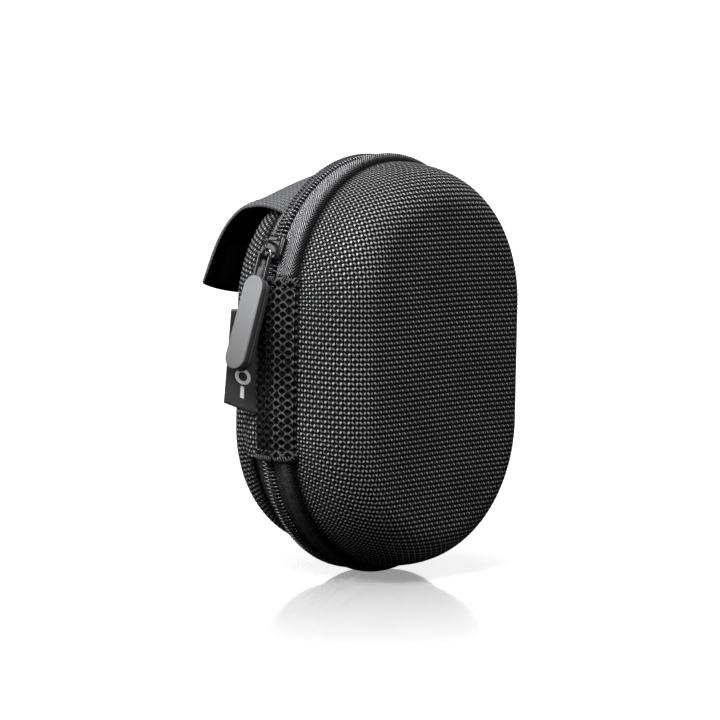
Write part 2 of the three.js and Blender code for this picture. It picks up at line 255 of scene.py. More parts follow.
floor_finish = Finish("pale_floor", {"Base Color": (0.12, 0.12, 0.12, 1), "Roughness": 0.1})
cloudy = floor_finish.noise(3.0)
floor_place = floor_finish.node("TexCoord", output="Object")
from_case = floor_finish.node("VectorMath", {"operation": "LENGTH"}, {0: floor_place}, "Value")
glow = floor_finish.spread(from_case, 0.04, 0.26)
floor_finish.wear(
    Roughness=floor_finish.spread(cloudy, 0.3, 0.7, 0.05, 0.08) + glow * 0.2,
    Emission_Color=floor_finish.mix(glow, (0.3, 0.3, 0.302, 1), (1, 1, 1, 1)),
)
floor_finish.shader.inputs["Emission Strength"].default_value = 1.0
floor_mesh = bpy.data.meshes.new("floor")
floor_reach = 3.6
floor_mesh.from_pydata(
    [
        (x * floor_reach, y * floor_reach, -0.0002)
        for x, y in ((-1, -1), (1, -1), (1, 1), (-1, 1))
    ],
    [],
    [(0, 1, 2, 3)],
)
floor_mesh.materials.append(floor_finish.material)
floor = bpy.data.objects.new("floor", floor_mesh)
bpy.context.scene.collection.objects.link(floor)
floor.visible_diffuse = False
floor.visible_glossy = False
soft_box("floor_sheen", 131, 12, 5.9, (12, 3), 150, only=floor)


# ------------------------------------------------------------------------ the covers
# Coarse plain-woven nylon, pressed with the foam behind it over a mould, so that the
# same sheet makes the flat face and the side wall. Its edge turns in under the zip.
outline_radius = 41.0
foot_to_centre = 57.5  # from the foot of the case up to its middle
half_straight = arc_centre[2] - case_centre[2]
front_half = {
    "side": -1, "seam": 1.3, "seam_depth": 9.2, "corner": 12.5, "depth": 29.4, "crown": 0.5,
}
back_half = {
    "side": 1, "seam": 4.7, "seam_depth": 8.8, "corner": 6.6, "depth": 18.3, "crown": 0.3,
}
back_swell = 0.7  # how much the back bulges towards the hinge
back_sink = 0.9  # and how much it sinks at its top
corner_power = 0.87
flat_radius = 14.0
cover_tuck = 1.8
yarn_across = 1.07  # between the upright yarns
yarn_up = 1.31  # between the level yarns
yarn_rise = 0.19  # how far a yarn's middle line goes up and down
yarn_round = 0.34  # how deep the gap between two yarns is
samples = 4  # points of the mesh for each yarn


def make_piece(name, points, faces, material, cloth=None, smooth=True):
    """A mesh object from millimetres about the case's centre."""
    mesh = bpy.data.meshes.new(name)
    points = np.asarray(points, float).reshape(-1, 3)
    faces = np.asarray(faces, np.int64)
    mesh.vertices.add(len(points))
    mesh.vertices.foreach_set("co", ((points + case_centre) * MM).astype(np.float32).ravel())
    sides = faces.shape[1]
    mesh.loops.add(faces.size)
    mesh.loops.foreach_set("vertex_index", faces.astype(np.int32).ravel())
    mesh.polygons.add(len(faces))
    mesh.polygons.foreach_set("loop_start", np.arange(0, faces.size, sides, dtype=np.int32))
    mesh.polygons.foreach_set("use_smooth", np.full(len(faces), smooth))
    mesh.update(calc_edges=True)
    mesh.validate()
    if cloth is not None:
        layer = mesh.uv_layers.new(name="cloth")
        cloth = np.asarray(cloth, float).reshape(-1, 2)
        layer.data.foreach_set("uv", cloth[faces.ravel()].astype(np.float32).ravel())
    mesh.materials.append(material)
    piece = bpy.data.objects.new(name, mesh)
    bpy.context.scene.collection.objects.link(piece)
    return piece


def keep_values(piece, name, values):
    """Stores one number for each point of a piece."""
    kept = piece.data.attributes.new(name, "FLOAT", "POINT")
    kept.data.foreach_set("value", np.asarray(values, np.float32).ravel())


def grid_faces(rows, columns, close_rows=False, close_columns=False, flip=False):
    """Quads of a grid of points, row by row."""
    i = np.arange(rows if close_rows else rows - 1)[:, None]
    j = np.arange(columns if close_columns else columns - 1)[None]
    a = i * columns + j
    b = i * columns + (j + 1) % columns
    c = (i + 1) % rows * columns + (j + 1) % columns
    d = (i + 1) % rows * columns + j
    faces = np.stack(np.broadcast_arrays(a, b, c, d), -1).reshape(-1, 4)
    return faces[:, ::-1] if flip else faces


def shell_curve(half, within=0.0, steps=60):
    """Radius and depth of a moulded face, from its middle out to the seam."""
    turn = np.linspace(math.pi / 2, 0, steps)
    across = 1 - np.cos(turn).clip(0) ** corner_power
    along = np.sin(turn).clip(0) ** corner_power
    inset = half["seam"] + within + half["corner"] * across
    depth = half["seam_depth"] + (half["depth"] - within - half["seam_depth"]) * along
    flat = half["depth"] + half["crown"] - within
    radius = np.concatenate([[0, flat_radius], outline_radius - inset])
    depth = np.concatenate([[flat, flat], depth])
    return radius, depth * half["side"]


def weave_relief(across, up):
    """Height of a plain weave, counted in yarns: the higher of the two yarns."""
    i, j = np.floor(across), np.floor(up)
    x, z = across - i - 0.5, up - j - 0.5
    over = 1 - 2 * ((i + j) % 2)
    dip = lambda t: np.sqrt((1 - (2 * t) ** 2).clip(0)) - 1
    upright = yarn_rise * over * np.cos(math.pi * z) + yarn_round * dip(x)
    level = -yarn_rise * over * np.cos(math.pi * x) + yarn_round * dip(z)
    return np.maximum(upright, level)


def cover(name, half, body, node):
    radius, depth = shell_curve(half)
    radius = np.append(radius, radius[-1] - cover_tuck)
    depth = np.append(depth, depth[-1] + half["side"] * 0.05)
    run = np.concatenate([[0], np.cumsum(np.hypot(np.diff(radius), np.diff(depth)))])
    reach = run[-1]
    count_across = int(reach / yarn_across) + 1
    count_up = int((reach + half_straight) / yarn_up) + 1
    across = np.arange(-count_across * samples, count_across * samples + 1) / samples
    up = np.arange(-count_up * samples, count_up * samples + 1) / samples
    across, up = np.meshgrid(across, up)
    # slow drift of the yarns, as no moulded cloth stays square
    u = across * yarn_across + 0.25 * np.sin(up / 9.0) * np.sin(across / 13.0)
    v = up * yarn_up + 0.2 * np.sin(across / 11.0 + 1)
    anchor = np.clip(v, -half_straight, half_straight)
    away = np.hypot(u, v - anchor)
    safe = np.maximum(away, 1e-9)
    out_x, out_z = u / safe, (v - anchor) / safe
    slope_r, slope_y = np.gradient(radius, run), np.gradient(depth, run)
    r = np.interp(away, run, radius)
    y = np.interp(away, run, depth)
    normal_r = np.interp(away, run, -slope_y * half["side"])
    normal_y = np.interp(away, run, slope_r) * half["side"]
    length = np.hypot(normal_r, normal_y)
    relief = weave_relief(across, up)
    seam_run = run[-2]
    fade = np.clip((seam_run - away) / 1.2, 0, 1)
    lift = 0.1 + relief * (0.15 + 0.35 * fade)
    sag = 0.12 * np.sin(u / 17 + 0.6) * np.sin(v / 23) * np.clip(away / 30, 0, 1)
    push = (lift + sag) / length
    settle = back_swell * np.clip(-out_x, 0, 1) ** 2 - back_sink * np.clip(out_z, 0, 1) ** 2
    settle *= (half["side"] > 0) * (r / radius.max()) ** 2
    points = np.stack(
        [
            out_x * (r + normal_r * push + settle),
            y + normal_y * push,
            anchor + out_z * (r + normal_r * push + settle),
        ],
        -1,
    )
    faces = grid_faces(*across.shape, flip=half["side"] > 0)
    inside = (away <= reach).ravel()
    faces = faces[inside[faces].all(1)]
    used = np.unique(faces)
    renumber = np.full(across.size, -1)
    renumber[used] = np.arange(len(used))
    cloth = np.stack([across * yarn_across, up * yarn_up], -1).reshape(-1, 2)[used]
    piece = make_piece(
        name, points.reshape(-1, 3)[used], renumber[faces], nylon.material, cloth
    )
    corner = np.interp(away, run, np.gradient(np.arctan2(slope_y * half["side"], slope_r), run))
    keep_values(piece, "corner", np.abs(corner).ravel()[used])
    # open is 0 at the seam and 1 from 2.2 mm in; the finish uses it to dim the crests near the
    # seam, a painted shade along the tuck under the zip
    keep_values(piece, "open", np.clip((seam_run - away) / 2.2, 0, 1).ravel()[used])
    # side_wall marks the side wall, where the finish paints the level yarns as the lit ones
    sideways = np.abs(out_x * normal_r / length)
    keep_values(piece, "side_wall", np.clip(sideways * 1.6 - 0.35, 0, 1).ravel()[used])
    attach(piece, body)
    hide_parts(node)


def woven(finish, across, along, size, lean):
    """Height of a plain weave in millimetres, and which yarn is on top: 1 for the
    upright one. The float of each yarn leans a little, as its twist makes it do."""
    x, z = across / size[0], along / size[1]
    wave_x, wave_z = (x * math.pi).math("SINE"), (z * math.pi).math("SINE")
    leaning_x = (x - (z * (2 * math.pi)).math("SINE") * lean[0]) * math.pi
    leaning_z = (z + (x * (2 * math.pi)).math("SINE") * lean[1]) * math.pi
    round_x = leaning_x.math("SINE").math("ABSOLUTE") ** 0.5 * yarn_round - yarn_round
    round_z = leaning_z.math("SINE").math("ABSOLUTE") ** 0.5 * yarn_round - yarn_round
    upright = wave_x.math("SIGN") * wave_z * yarn_rise + round_x
    level = round_z - wave_z.math("SIGN") * wave_x * yarn_rise
    return upright.math("MAXIMUM", level), finish.spread(upright - level, -0.08, 0.08)


yarn_lean = (0.17, 0.05)  # of the upright and the level yarns
nylon = Finish("woven_nylon", {"Specular IOR Level": 0.12, "Coat Roughness": 0.36})
across, along = nylon.cloth_place()
height, upright = woven(nylon, across, along, (yarn_across, yarn_up), yarn_lean)
rubbed = nylon.node("Attribute", {"attribute_name": "corner"}, output=2)
# painted shade: within about 2 mm of the seam the crests are dimmed to a quarter, so the cloth
# there is painted dark
clear_of_seam_shade = nylon.node("Attribute", {"attribute_name": "open"}, output=2)
on_side_wall = nylon.node("Attribute", {"attribute_name": "side_wall"}, output=2)
# crest is 1 on the yarn tops and 0 in the gaps between them; below, the gaps are painted almost
# black, a painted shade between the yarns
crest = nylon.spread(height, 0.02, 0.18) * (clear_of_seam_shade * 0.75 + 0.25)
dusty = nylon.spread(nylon.noise(60.0, 4.0), 0.35, 0.7)
filament = ((across * 0.85 + along * 0.5) * 30).math("SINE")
thread_tone = nylon.mix(dusty, (0.25, 0.251, 0.257, 1), (0.33, 0.331, 0.338, 1))
shaded_yarn_tone = nylon.mix(0.68, thread_tone, (0, 0, 0, 1))
# painted light: the yarns that the lamps catch best keep the full tone and the others take a
# darker copy, a painted shade; on the side wall these are the level yarns, which run round it, on
# the face the upright ones
lit_yarns = upright * (1 - on_side_wall) + (1 - upright) * on_side_wall
yarn_tone = nylon.mix(lit_yarns, shaded_yarn_tone, thread_tone)
worn_and_lit_yarn_tone = nylon.mix(nylon.spread(rubbed, 0.04, 0.16) * 0.25, yarn_tone, (0.28, 0.28, 0.283, 1))
nylon.wear(
    Base_Color=nylon.mix(crest**2.4, (0.0003, 0.0003, 0.0004, 1), worn_and_lit_yarn_tone),
    Roughness=nylon.spread(crest, 0, 1, 0.9, 0.45) + dusty * 0.06,
    Coat_Weight=crest**2.4 * (lit_yarns * 0.62 + 0.05),
    Normal=nylon.bump(height + filament * 0.012, 0.001, 0.9),
)
cover("front_cover_cloth", front_half, "lid", "front_cover")
cover("back_cover_cloth", back_half, "back_half", "back_cover")


# ----------------------------------------------------------- foam shells and linings
# Pressed foam gives each half its shape. It is sealed between the cover and a brushed
# knit lining, which is pressed over the same mould and shows when the case is open.
foam = Finish("eva_foam", {"Roughness": 0.9, "Specular IOR Level": 0.2})
cells = foam.noise(1500.0, 2.0)
foam.wear(
    Base_Color=foam.mix(cells, (0.012, 0.012, 0.012, 1), (0.03, 0.03, 0.031, 1)),
    Normal=foam.bump(cells, 0.0002, 0.4),
)
for node in ("front_foam_shell", "back_foam_shell"):
    frame["nodes"][node].data.materials.clear()
    frame["nodes"][node].data.materials.append(foam.material)

lining_depth = 0.9 + 0.3 + 3.0 + 0.3 + 0.7  # cover, gap, foam, gap, lining
knit_pitch = 0.55

knit = Finish(
    "lining_knit", {"Specular IOR Level": 0.2, "Sheen Weight": 0.25, "Sheen Roughness": 0.5}
)
across, along = knit.cloth_place()
wales = (across * (2 * math.pi / knit_pitch)).math("SINE")
loops = (along * (2 * math.pi / knit_pitch) + wales).math("SINE")
brushed = knit.noise(420.0, 3.0)
stitch_height = wales * 0.5 + loops * 0.5
knit.wear(
    Base_Color=knit.mix(
        knit.spread(stitch_height + brushed, -0.4, 1.3),
        (0.006, 0.006, 0.007, 1),
        (0.024, 0.024, 0.026, 1),
    ),
    Roughness=knit.spread(brushed, 0.3, 0.7, 0.7, 0.95),
    Normal=knit.bump(stitch_height * 0.5 + brushed, 0.00012, 0.7),
)


def lining(name, half, body, node):
    radius, depth = shell_curve(half, lining_depth)
    radius = np.append(radius, [radius[-1] - 0.1, radius[-1] - 0.7])
    depth = np.append(depth, [depth[-1] - half["side"] * 0.6, depth[-1] - half["side"] * 0.3])
    run = np.concatenate([[0], np.cumsum(np.hypot(np.diff(radius), np.diff(depth)))])
    turns = 220
    rows = 70
    share = np.linspace(0, 1, rows)[:, None] ** 0.9
    reach = share * run[-1]
    r = np.interp(reach, run, radius)
    y = np.interp(reach, run, depth)
    angle, anchor = ring_walk(turns)
    loose = 0.12 * np.sin(3 * angle + share * 9) * np.sin(share * math.pi)
    height = anchor * np.minimum(1, reach / 9) + r * np.sin(angle)
    points = np.stack([r * np.cos(angle), y + loose + 0 * angle, height], -1)
    cloth = np.stack([reach * np.cos(angle), anchor + reach * np.sin(angle)], -1)
    faces = grid_faces(rows, turns, close_columns=True, flip=half["side"] < 0)
    piece = make_piece(name, points, faces, knit.material, cloth)
    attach(piece, body)
    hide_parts(node)


def ring_walk(count, start=math.pi / 2, sweep=2 * math.pi):
    """Angle and arc centre of even steps round the outline, clockwise from start."""
    arc = outline_radius * math.pi
    straight = 2 * half_straight
    whole = 2 * (arc + straight)

    def place(angle):
        # distance from the hinge side's end of the top arc, going clockwise
        turned = (math.pi - angle) % (2 * math.pi)
        if turned <= math.pi:
            return turned * outline_radius
        return turned * outline_radius + straight

    first = place(start)
    last = first + whole if sweep >= 2 * math.pi else place(start - sweep)
    if sweep >= 2 * math.pi:
        steps = first + np.arange(count) * whole / count
    else:
        steps = np.linspace(first, last + (whole if last < first else 0), count)
    steps = np.mod(steps, whole)
    ends = np.cumsum([0, arc, straight, arc, straight])
    angle = np.interp(steps, ends, [math.pi, 0, 0, -math.pi, -math.pi])
    anchor = np.interp(steps, ends, [1, 1, -1, -1, 1])
    anchor = np.where(steps < ends[1], 1, np.where(
        steps < ends[2], anchor, np.where(steps < ends[3], -1, anchor)
    ))
    return angle, anchor * half_straight


lining("front_lining_cloth", front_half, "lid", "front_lining")
lining("back_lining_cloth", back_half, "back_half", "back_lining")


# ------------------------------------------------------------------------- zip tapes
# Herringbone tapes, woven with the coil on their edges, and painted paler towards the top,
# a painted light from above. The lid's tape is rolled over the seam like piping; the back
# one lies flatter.
# Both start and end at the hinge.
hinge_top_angle = math.pi - math.asin(9.3 / outline_radius)
hinge_foot_angle = math.pi + math.asin(8.0 / outline_radius)
tape_end_angle = math.pi - math.asin(27.3 / outline_radius)
front_tape_profile = [
    (0.9, -1.9), (0.25, -2.1), (0.02, -3.2), (0.0, -4.2), (-0.15, -4.8), (-0.55, -5.4),
    (-0.95, -6.1), (-1.12, -6.8), (-1.05, -7.5), (-0.75, -8.1), (-0.2, -8.6),
    (0.6, -8.95), (1.5, -8.95), (2.5, -8.5), (2.2, -7.6), (0.9, -6.2), (1.3, -4.7),
    (1.5, -2.4),
]
back_tape_profile = [
    (0.9, 1.9), (0.3, 2.1), (0.4, 3.0), (1.0, 3.8), (1.9, 4.5), (2.7, 5.2), (3.3, 6.0),
    (3.8, 7.1), (4.3, 8.3), (4.8, 8.7), (5.2, 8.2), (4.5, 6.1), (3.3, 4.6), (1.8, 3.6),
    (1.5, 2.4),
]
tape_step = 0.5

twill = Finish("zip_tape_twill", {"Specular IOR Level": 0.04})
along, across = twill.cloth_place()
rib = 0.95
zigzag = across.math("PINGPONG", 2.6) * 1.3
ribs = ((along + zigzag) * (2 * math.pi / rib)).math("SINE")
picks = (across * (2 * math.pi / 0.7)).math("SINE") * (along * (2 * math.pi / 0.8)).math("SINE")
fuzz = twill.noise(1500.0, 2.0)
twill_height = ribs * 0.6 + picks * 0.3 + fuzz * 1.6
# groove_shade is 1 on the tape's flank in the groove beside the shell, where the tape is painted
# darker, a painted shade
groove_shade = twill.spread(across, 6.9, 8.5)
tape_place = twill.node("TexCoord", output="Object")
tape_up = twill.node("SeparateXYZ", {}, {0: tape_place}, "Z")
# painted light: the tape's tone rises from dark near the foot to pale near the top, as if lit from
# above
painted_top_light_tone = twill.mix(
    twill.spread(tape_up, 0.02, 0.1), (0.045, 0.045, 0.047, 1), (0.25, 0.251, 0.258, 1)
)
# the low lines between the twill's ribs are painted almost black, a painted shade, and so, mostly,
# is the groove
raised_yarn = twill.spread(twill_height, 0.45, 1.6) * (1 - groove_shade * 0.9)
twill.wear(
    Base_Color=twill.mix(raised_yarn, (0.0008, 0.0008, 0.001, 1), painted_top_light_tone),
    Roughness=twill.spread(fuzz, 0.3, 0.7, 0.55, 0.75),
    Normal=twill.bump(twill_height, 0.00012, 0.8),
)


def smooth_profile(profile, parts=3):
    """Rounds a closed profile by a spline through its points."""
    profile = np.asarray(profile, float)
    before, after = np.roll(profile, 1, 0), np.roll(profile, -1, 0)
    later = np.roll(profile, -2, 0)
    rows = []
    for t in np.arange(parts) / parts:
        rows.append(
            0.5
            * (
                2 * profile
                + (after - before) * t
                + (2 * before - 5 * profile + 4 * after - later) * t**2
                + (3 * profile - before - 3 * after + later) * t**3
            )
        )
    return np.stack(rows, 1).reshape(-1, 2)


def swept(name, profile, start, sweep, material, step=tape_step, ends=True, wave=None):
    """A closed profile of (inset, depth) points, taken round the outline."""
    profile = np.asarray(profile, float)
    length = sweep * outline_radius + 2 * half_straight * (sweep > math.pi / 2) * (1 + (sweep > 5))
    count = max(int(length / step), 4)
    angle, anchor = ring_walk(count, start, sweep)
    angle, anchor = angle[:, None], anchor[:, None]
    r = outline_radius - profile[None, :, 0]
    y = profile[None, :, 1] + 0 * angle
    if wave is not None:
        r = r + wave(angle, anchor)
    points = np.stack([r * np.cos(angle), y, anchor + r * np.sin(angle)], -1)
    side_run = np.cumsum(np.hypot(*np.diff(profile, axis=0, append=profile[:1]).T))
    travelled = np.linspace(0, length, count)[:, None]
    cloth = np.stack(np.broadcast_arrays(travelled, side_run[None]), -1)
    closed = sweep >= 2 * math.pi
    area = (profile[:, 0] * (np.roll(profile[:, 1], -1) - np.roll(profile[:, 1], 1))).sum()
    flip = area < 0
    faces = grid_faces(count, len(profile), closed, True, flip)
    points, cloth = points.reshape(-1, 3), cloth.reshape(-1, 2)
    if ends and not closed:
        size = len(profile)
        middles = np.stack([points[:size].mean(0), points[-size:].mean(0)])
        here = len(points)
        ring = np.arange(size)
        cap = np.stack([ring, np.roll(ring, -1), np.full(size, here), np.full(size, here)], -1)
        last = np.stack(
            [np.roll(ring, -1), ring, np.full(size, here + 1), np.full(size, here + 1)], -1
        )
        last[:, :2] += here - size
        points = np.concatenate([points, middles])
        cloth = np.concatenate([cloth, cloth[:1], cloth[-1:]])
        caps = np.concatenate([cap, last])
        if not flip:
            caps = caps[:, ::-1]
        piece = make_piece(name, points, faces, material, cloth)
        add_caps(piece, caps, cloth)
        return piece
    return make_piece(name, points, faces, material, cloth)


def add_caps(piece, caps, cloth):
    """Closes the open ends of a swept piece with fans of triangles."""
    shape = bmesh.new()
    shape.from_mesh(piece.data)
    shape.verts.ensure_lookup_table()
    layer = shape.loops.layers.uv["cloth"]
    for corners in caps:
        kept = list(dict.fromkeys(int(corner) for corner in corners))
        face = shape.faces.new([shape.verts[corner] for corner in kept])
        for loop, corner in zip(face.loops, kept):
            loop[layer].uv = cloth[corner]
    shape.to_mesh(piece.data)
    shape.free()


def bend_to_lid(piece):
    """Cloth beside the hinge: bakes its placing into its points. It is attached to neither half,
    and does not turn with the lid."""
    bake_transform(piece)


front_tape = smooth_profile(front_tape_profile)
front_tape_piece = swept(
    "front_zip_tape_cloth", front_tape, tape_end_angle,
    tape_end_angle - hinge_foot_angle + 2 * math.pi, twill.material,
)
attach(front_tape_piece, "lid")
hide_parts("front_zip_tape")
front_tape_end = swept(
    "front_zip_tape_end_cloth", front_tape, hinge_top_angle,
    hinge_top_angle - tape_end_angle, twill.material,
)
bend_to_lid(front_tape_end)
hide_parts("front_zip_tape_end")
back_tape_piece = swept(
    "back_zip_tape_cloth", smooth_profile(back_tape_profile), hinge_top_angle,
    hinge_top_angle - hinge_foot_angle + 2 * math.pi, twill.material,
)
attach(back_tape_piece, "back_half")
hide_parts("back_zip_tape")


# ------------------------------------------------------------------------- zip coils
# Each coil is one nylon line wound into loops, sewn along the tape's edge. The loops
# of the two coils stand in each other's gaps, and show as two rows of round heads.
tooth_pitch = 1.25
line_radius = 0.34
coil = Finish(
    "zip_coil_nylon", {"Specular IOR Level": 0.5, "Coat Weight": 0.3, "Coat Roughness": 0.2}
)
drawn = coil.noise(700.0, 2.0)
coil.wear(
    Base_Color=coil.mix(drawn, (0.006, 0.006, 0.007, 1), (0.02, 0.02, 0.022, 1)),
    Roughness=coil.spread(drawn, 0.3, 0.7, 0.24, 0.36),
    Normal=coil.bump(drawn, 0.00003, 0.3),
)


def tooth_points(side):
    """The line's path over one loop: along the depth, out from the arc, and onwards."""
    path = [
        (side * 2.05, -0.55, -0.1), (side * 1.9, 0.05, -0.05), (side * 1.2, 0.3, 0),
        (side * 0.3, 0.36, 0.0), (side * -0.45, 0.32, 0.0), (side * -0.78, -0.05, 0.05),
        (side * -0.45, -0.5, 0.1), (side * 0.9, -0.7, 0.1),
    ]
    return np.array(path, float)


def coil_teeth(name, side, start, sweep, offset):
    path = tooth_points(side)
    # a round section, wider at the head, that follows the path
    ahead = np.gradient(path, axis=0)
    ahead /= np.linalg.norm(ahead, axis=1)[:, None]
    sideways = np.array([0, 0, 1.0])
    lifted = np.cross(ahead, sideways)
    lifted /= np.linalg.norm(lifted, axis=1)[:, None]
    thick = line_radius * np.array([0.8, 0.95, 1, 1, 1.15, 1.2, 1.0, 0.8])
    turn = np.linspace(0, 2 * math.pi, 8, endpoint=False)
    wide = np.cos(turn)[None, :, None] * sideways * 1.1
    section = wide + np.sin(turn)[None, :, None] * lifted[:, None]
    tooth = path[:, None] + thick[:, None, None] * section
    size = tooth.shape[0] * tooth.shape[1]
    length = sweep * outline_radius + 2 * half_straight * (sweep > math.pi / 2) * (1 + (sweep > 5))
    count = int(length / tooth_pitch)
    angle, anchor = ring_walk(count * 2 + 1, start, sweep)
    angle, anchor = angle[offset : count * 2 : 2], anchor[offset : count * 2 : 2]
    y, rise, onward = (tooth[..., k].reshape(-1) for k in range(3))
    r = outline_radius + 0.05 + rise
    cos, sin = np.cos(angle)[:, None], np.sin(angle)[:, None]
    points = np.stack(
        [
            r * cos + onward * sin,
            np.broadcast_to(y, (len(angle), size)),
            anchor[:, None] + r * sin - onward * cos,
        ],
        -1,
    )
    one = grid_faces(*tooth.shape[:2], close_columns=True, flip=side < 0)
    faces = (np.arange(len(angle))[:, None, None] * size + one).reshape(-1, 4)
    return make_piece(name, points, faces, coil.material)


whole_sweep = hinge_top_angle - hinge_foot_angle + 2 * math.pi
lid_sweep = tape_end_angle - hinge_foot_angle + 2 * math.pi
end_sweep = hinge_top_angle - tape_end_angle
for name, side, start, sweep, offset, node in (
    ("front_zip_coil_loops", -1, tape_end_angle, lid_sweep, 0, "front_zip_coil"),
    ("front_zip_coil_end_loops", -1, hinge_top_angle, end_sweep, 0, "front_zip_coil_end"),
    ("back_zip_coil_loops", 1, hinge_top_angle, whole_sweep, 1, "back_zip_coil"),
):
    loops = coil_teeth(name, side, start, sweep, offset)
    if node == "front_zip_coil_end":
        bend_to_lid(loops)
    else:
        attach(loops, "lid" if side < 0 else "back_half")
    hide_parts(node)


# ---------------------------------------------------------------------- seam binding
# Folded tape sewn over the raw edges inside each half. Its row of stitches is not drawn.
tape_binding = Finish("seam_binding_weave", {"Specular IOR Level": 0.3, "Sheen Weight": 0.2})
fine = tape_binding.noise(1800.0, 2.0)
tape_binding.wear(
    Base_Color=tape_binding.mix(fine, (0.006, 0.006, 0.006, 1), (0.026, 0.026, 0.027, 1)),
    Roughness=tape_binding.spread(fine, 0.3, 0.7, 0.65, 0.85),
    Normal=tape_binding.bump(fine, 0.00015, 0.6),
)
for name, half, body, inset in (
    ("front_seam_binding", front_half, "lid", 2.9),
    ("back_seam_binding", back_half, "back_half", 5.7),
):
    near = half["seam_depth"] - 1.7
    far = half["seam_depth"] - 0.3
    side = half["side"]
    folded = [
        (inset, side * near), (inset - 0.1, side * (near + far) / 2), (inset, side * far),
        (inset + 1.2, side * (far + 0.15)), (inset + 2.3, side * far),
        (inset + 2.6, side * (near + far) / 2), (inset + 2.3, side * near),
        (inset + 1.2, side * (near - 0.15)),
    ]
    rolled = swept(
        name + "_tape", smooth_profile(folded), math.pi / 2, 2 * math.pi,
        tape_binding.material, 1.2,
    )
    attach(rolled, body)
    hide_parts(name)


# ---------------------------------------------------------------------- hinge strip
# Heavy webbing sewn over the gap between the halves. Its bright upright floats sway
# from side to side against each other, like links of a chain. Both ends are folded
# under and overlocked, and a row of thread holds each long edge.
strip_profile = [
    (1.3, -10.2), (0.4, -9.6), (-0.35, -8.6), (-0.95, -6.6), (-1.25, -4.4), (-1.3, -2.4),
    (-1.15, -0.4), (-0.7, 1.4), (0.2, 2.8),
]
strip_thick = 0.9
strip_yarn_across = 1.12
strip_yarn_up = 1.75
strip_foot = hinge_foot_angle - math.pi
strip_head = math.pi - hinge_top_angle
strip_length = 2 * half_straight + outline_radius * (strip_foot + strip_head)


def open_curve(points, count=400):
    """A smooth open line through points, with the distance along it."""
    points = np.asarray(points, float)
    ends = np.concatenate([[2 * points[0] - points[1]], points, [2 * points[-1] - points[-2]]])
    t = np.linspace(0, len(points) - 1, count)
    i = np.minimum(t.astype(int), len(points) - 2)
    f = (t - i)[:, None]
    a, b, c, d = ends[i], ends[i + 1], ends[i + 2], ends[i + 3]
    line = 0.5 * (
        2 * b + (c - a) * f + (2 * a - 5 * b + 4 * c - d) * f**2 + (3 * b - a - 3 * c + d) * f**3
    )
    run = np.concatenate([[0], np.cumsum(np.linalg.norm(np.diff(line, axis=0), axis=1))])
    return line, run


def slab(name, place, size, counts, thick, material, relief=None, edge=0.4, under=None):
    """Cloth with two faces and rounded edges. place(u, v) is its middle surface, with
    u across and v along in millimetres; relief(u, v) stands on its outer face."""
    u, v = np.meshgrid(np.linspace(0, size[0], counts[0]), np.linspace(0, size[1], counts[1]))
    middle = place(u, v)
    step_u = np.gradient(middle, axis=1)
    step_v = np.gradient(middle, axis=0)
    normal = np.cross(step_u, step_v)
    normal /= np.linalg.norm(normal, axis=-1, keepdims=True)
    rim = np.minimum.reduce([u, size[0] - u, v, size[1] - v]) / edge
    body = np.sqrt(1 - (1 - np.clip(rim, 0, 1)) ** 2)
    height = np.zeros_like(u) if relief is None else relief(u, v)
    outer = middle + normal * ((thick / 2 + height) * body + 0.02)[..., None]
    inner_thick = thick / 2 if under is None else thick / 2 + under(u, v)
    inner = middle - normal * (inner_thick * body + 0.02)[..., None]
    rows, columns = u.shape
    here = rows * columns
    faces = grid_faces(rows, columns)
    border = np.concatenate(
        [
            np.arange(columns - 1),
            np.arange(rows - 1) * columns + columns - 1,
            here - 1 - np.arange(columns - 1),
            (rows - 1 - np.arange(rows - 1)) * columns,
        ]
    )
    after = np.roll(border, -1)
    walls = np.stack([after, border, border + here, after + here], -1)
    faces = np.concatenate([faces, faces[:, ::-1] + here, walls])
    points = np.concatenate([outer.reshape(-1, 3), inner.reshape(-1, 3)])
    cloth = np.tile(np.stack([u, v], -1).reshape(-1, 2), (2, 1))
    piece = make_piece(name, points, faces, material, cloth)
    inside = np.full(here, -0.12) if under is None else -np.ones(here)
    keep_values(piece, "relief", np.concatenate([height.ravel(), inside]))
    return piece


def on_side(run, line, u, v):
    """A point of the hinge side: u along the strip's profile and v up its length."""
    inset = np.interp(u, run, line[:, 0])
    depth = np.interp(u, run, line[:, 1])
    foot_arc = outline_radius * strip_foot
    low = np.clip(v - foot_arc, None, 0) / outline_radius
    high = np.clip(v - foot_arc - 2 * half_straight, 0, None) / outline_radius
    angle = math.pi - high - low
    anchor = np.clip(v - foot_arc, 0, 2 * half_straight) - half_straight
    r = outline_radius - inset
    return np.stack([r * np.cos(angle), depth, anchor + r * np.sin(angle)], -1)


def strip_relief(u, v):
    i, j = u / strip_yarn_across, v / strip_yarn_up
    woven = weave_relief(i + 0.12 * np.sin(j * 1.7), j) * 1.15
    from_end = np.minimum(v, strip_length - v)
    fold = 0.55 * np.exp(-(((from_end - 1.6) / 1.1) ** 2))
    ridge = 0.35 * np.exp(-(((u - strip_run[-1] * 0.56) / 1.1) ** 2))
    return woven + fold + ridge + 0.12 * np.sin(v / 6.1) * np.sin(u / 4)


strip_line, strip_run = open_curve(strip_profile)
strip_across = strip_run[-1]
float_column = 1.55
float_repeat = 2.3
webbing = Finish("hinge_webbing", {"Specular IOR Level": 0.04, "Coat Roughness": 0.35})
height = webbing.node("Attribute", {"attribute_name": "relief"}, output=2)
crest = webbing.spread(height, -0.15, 0.15)
across, along = webbing.cloth_place()
from_front = (-1.0 * across) + strip_across
sway = (along * (2 * math.pi / float_repeat)).math("COSINE") * 0.75
from_float = ((from_front * (math.pi / float_column)).math("SINE") - sway).math("ABSOLUTE")
long_floats = webbing.spread(from_float, 0.1, 0.6, 1, 0) * (crest * 0.5 + 0.5)
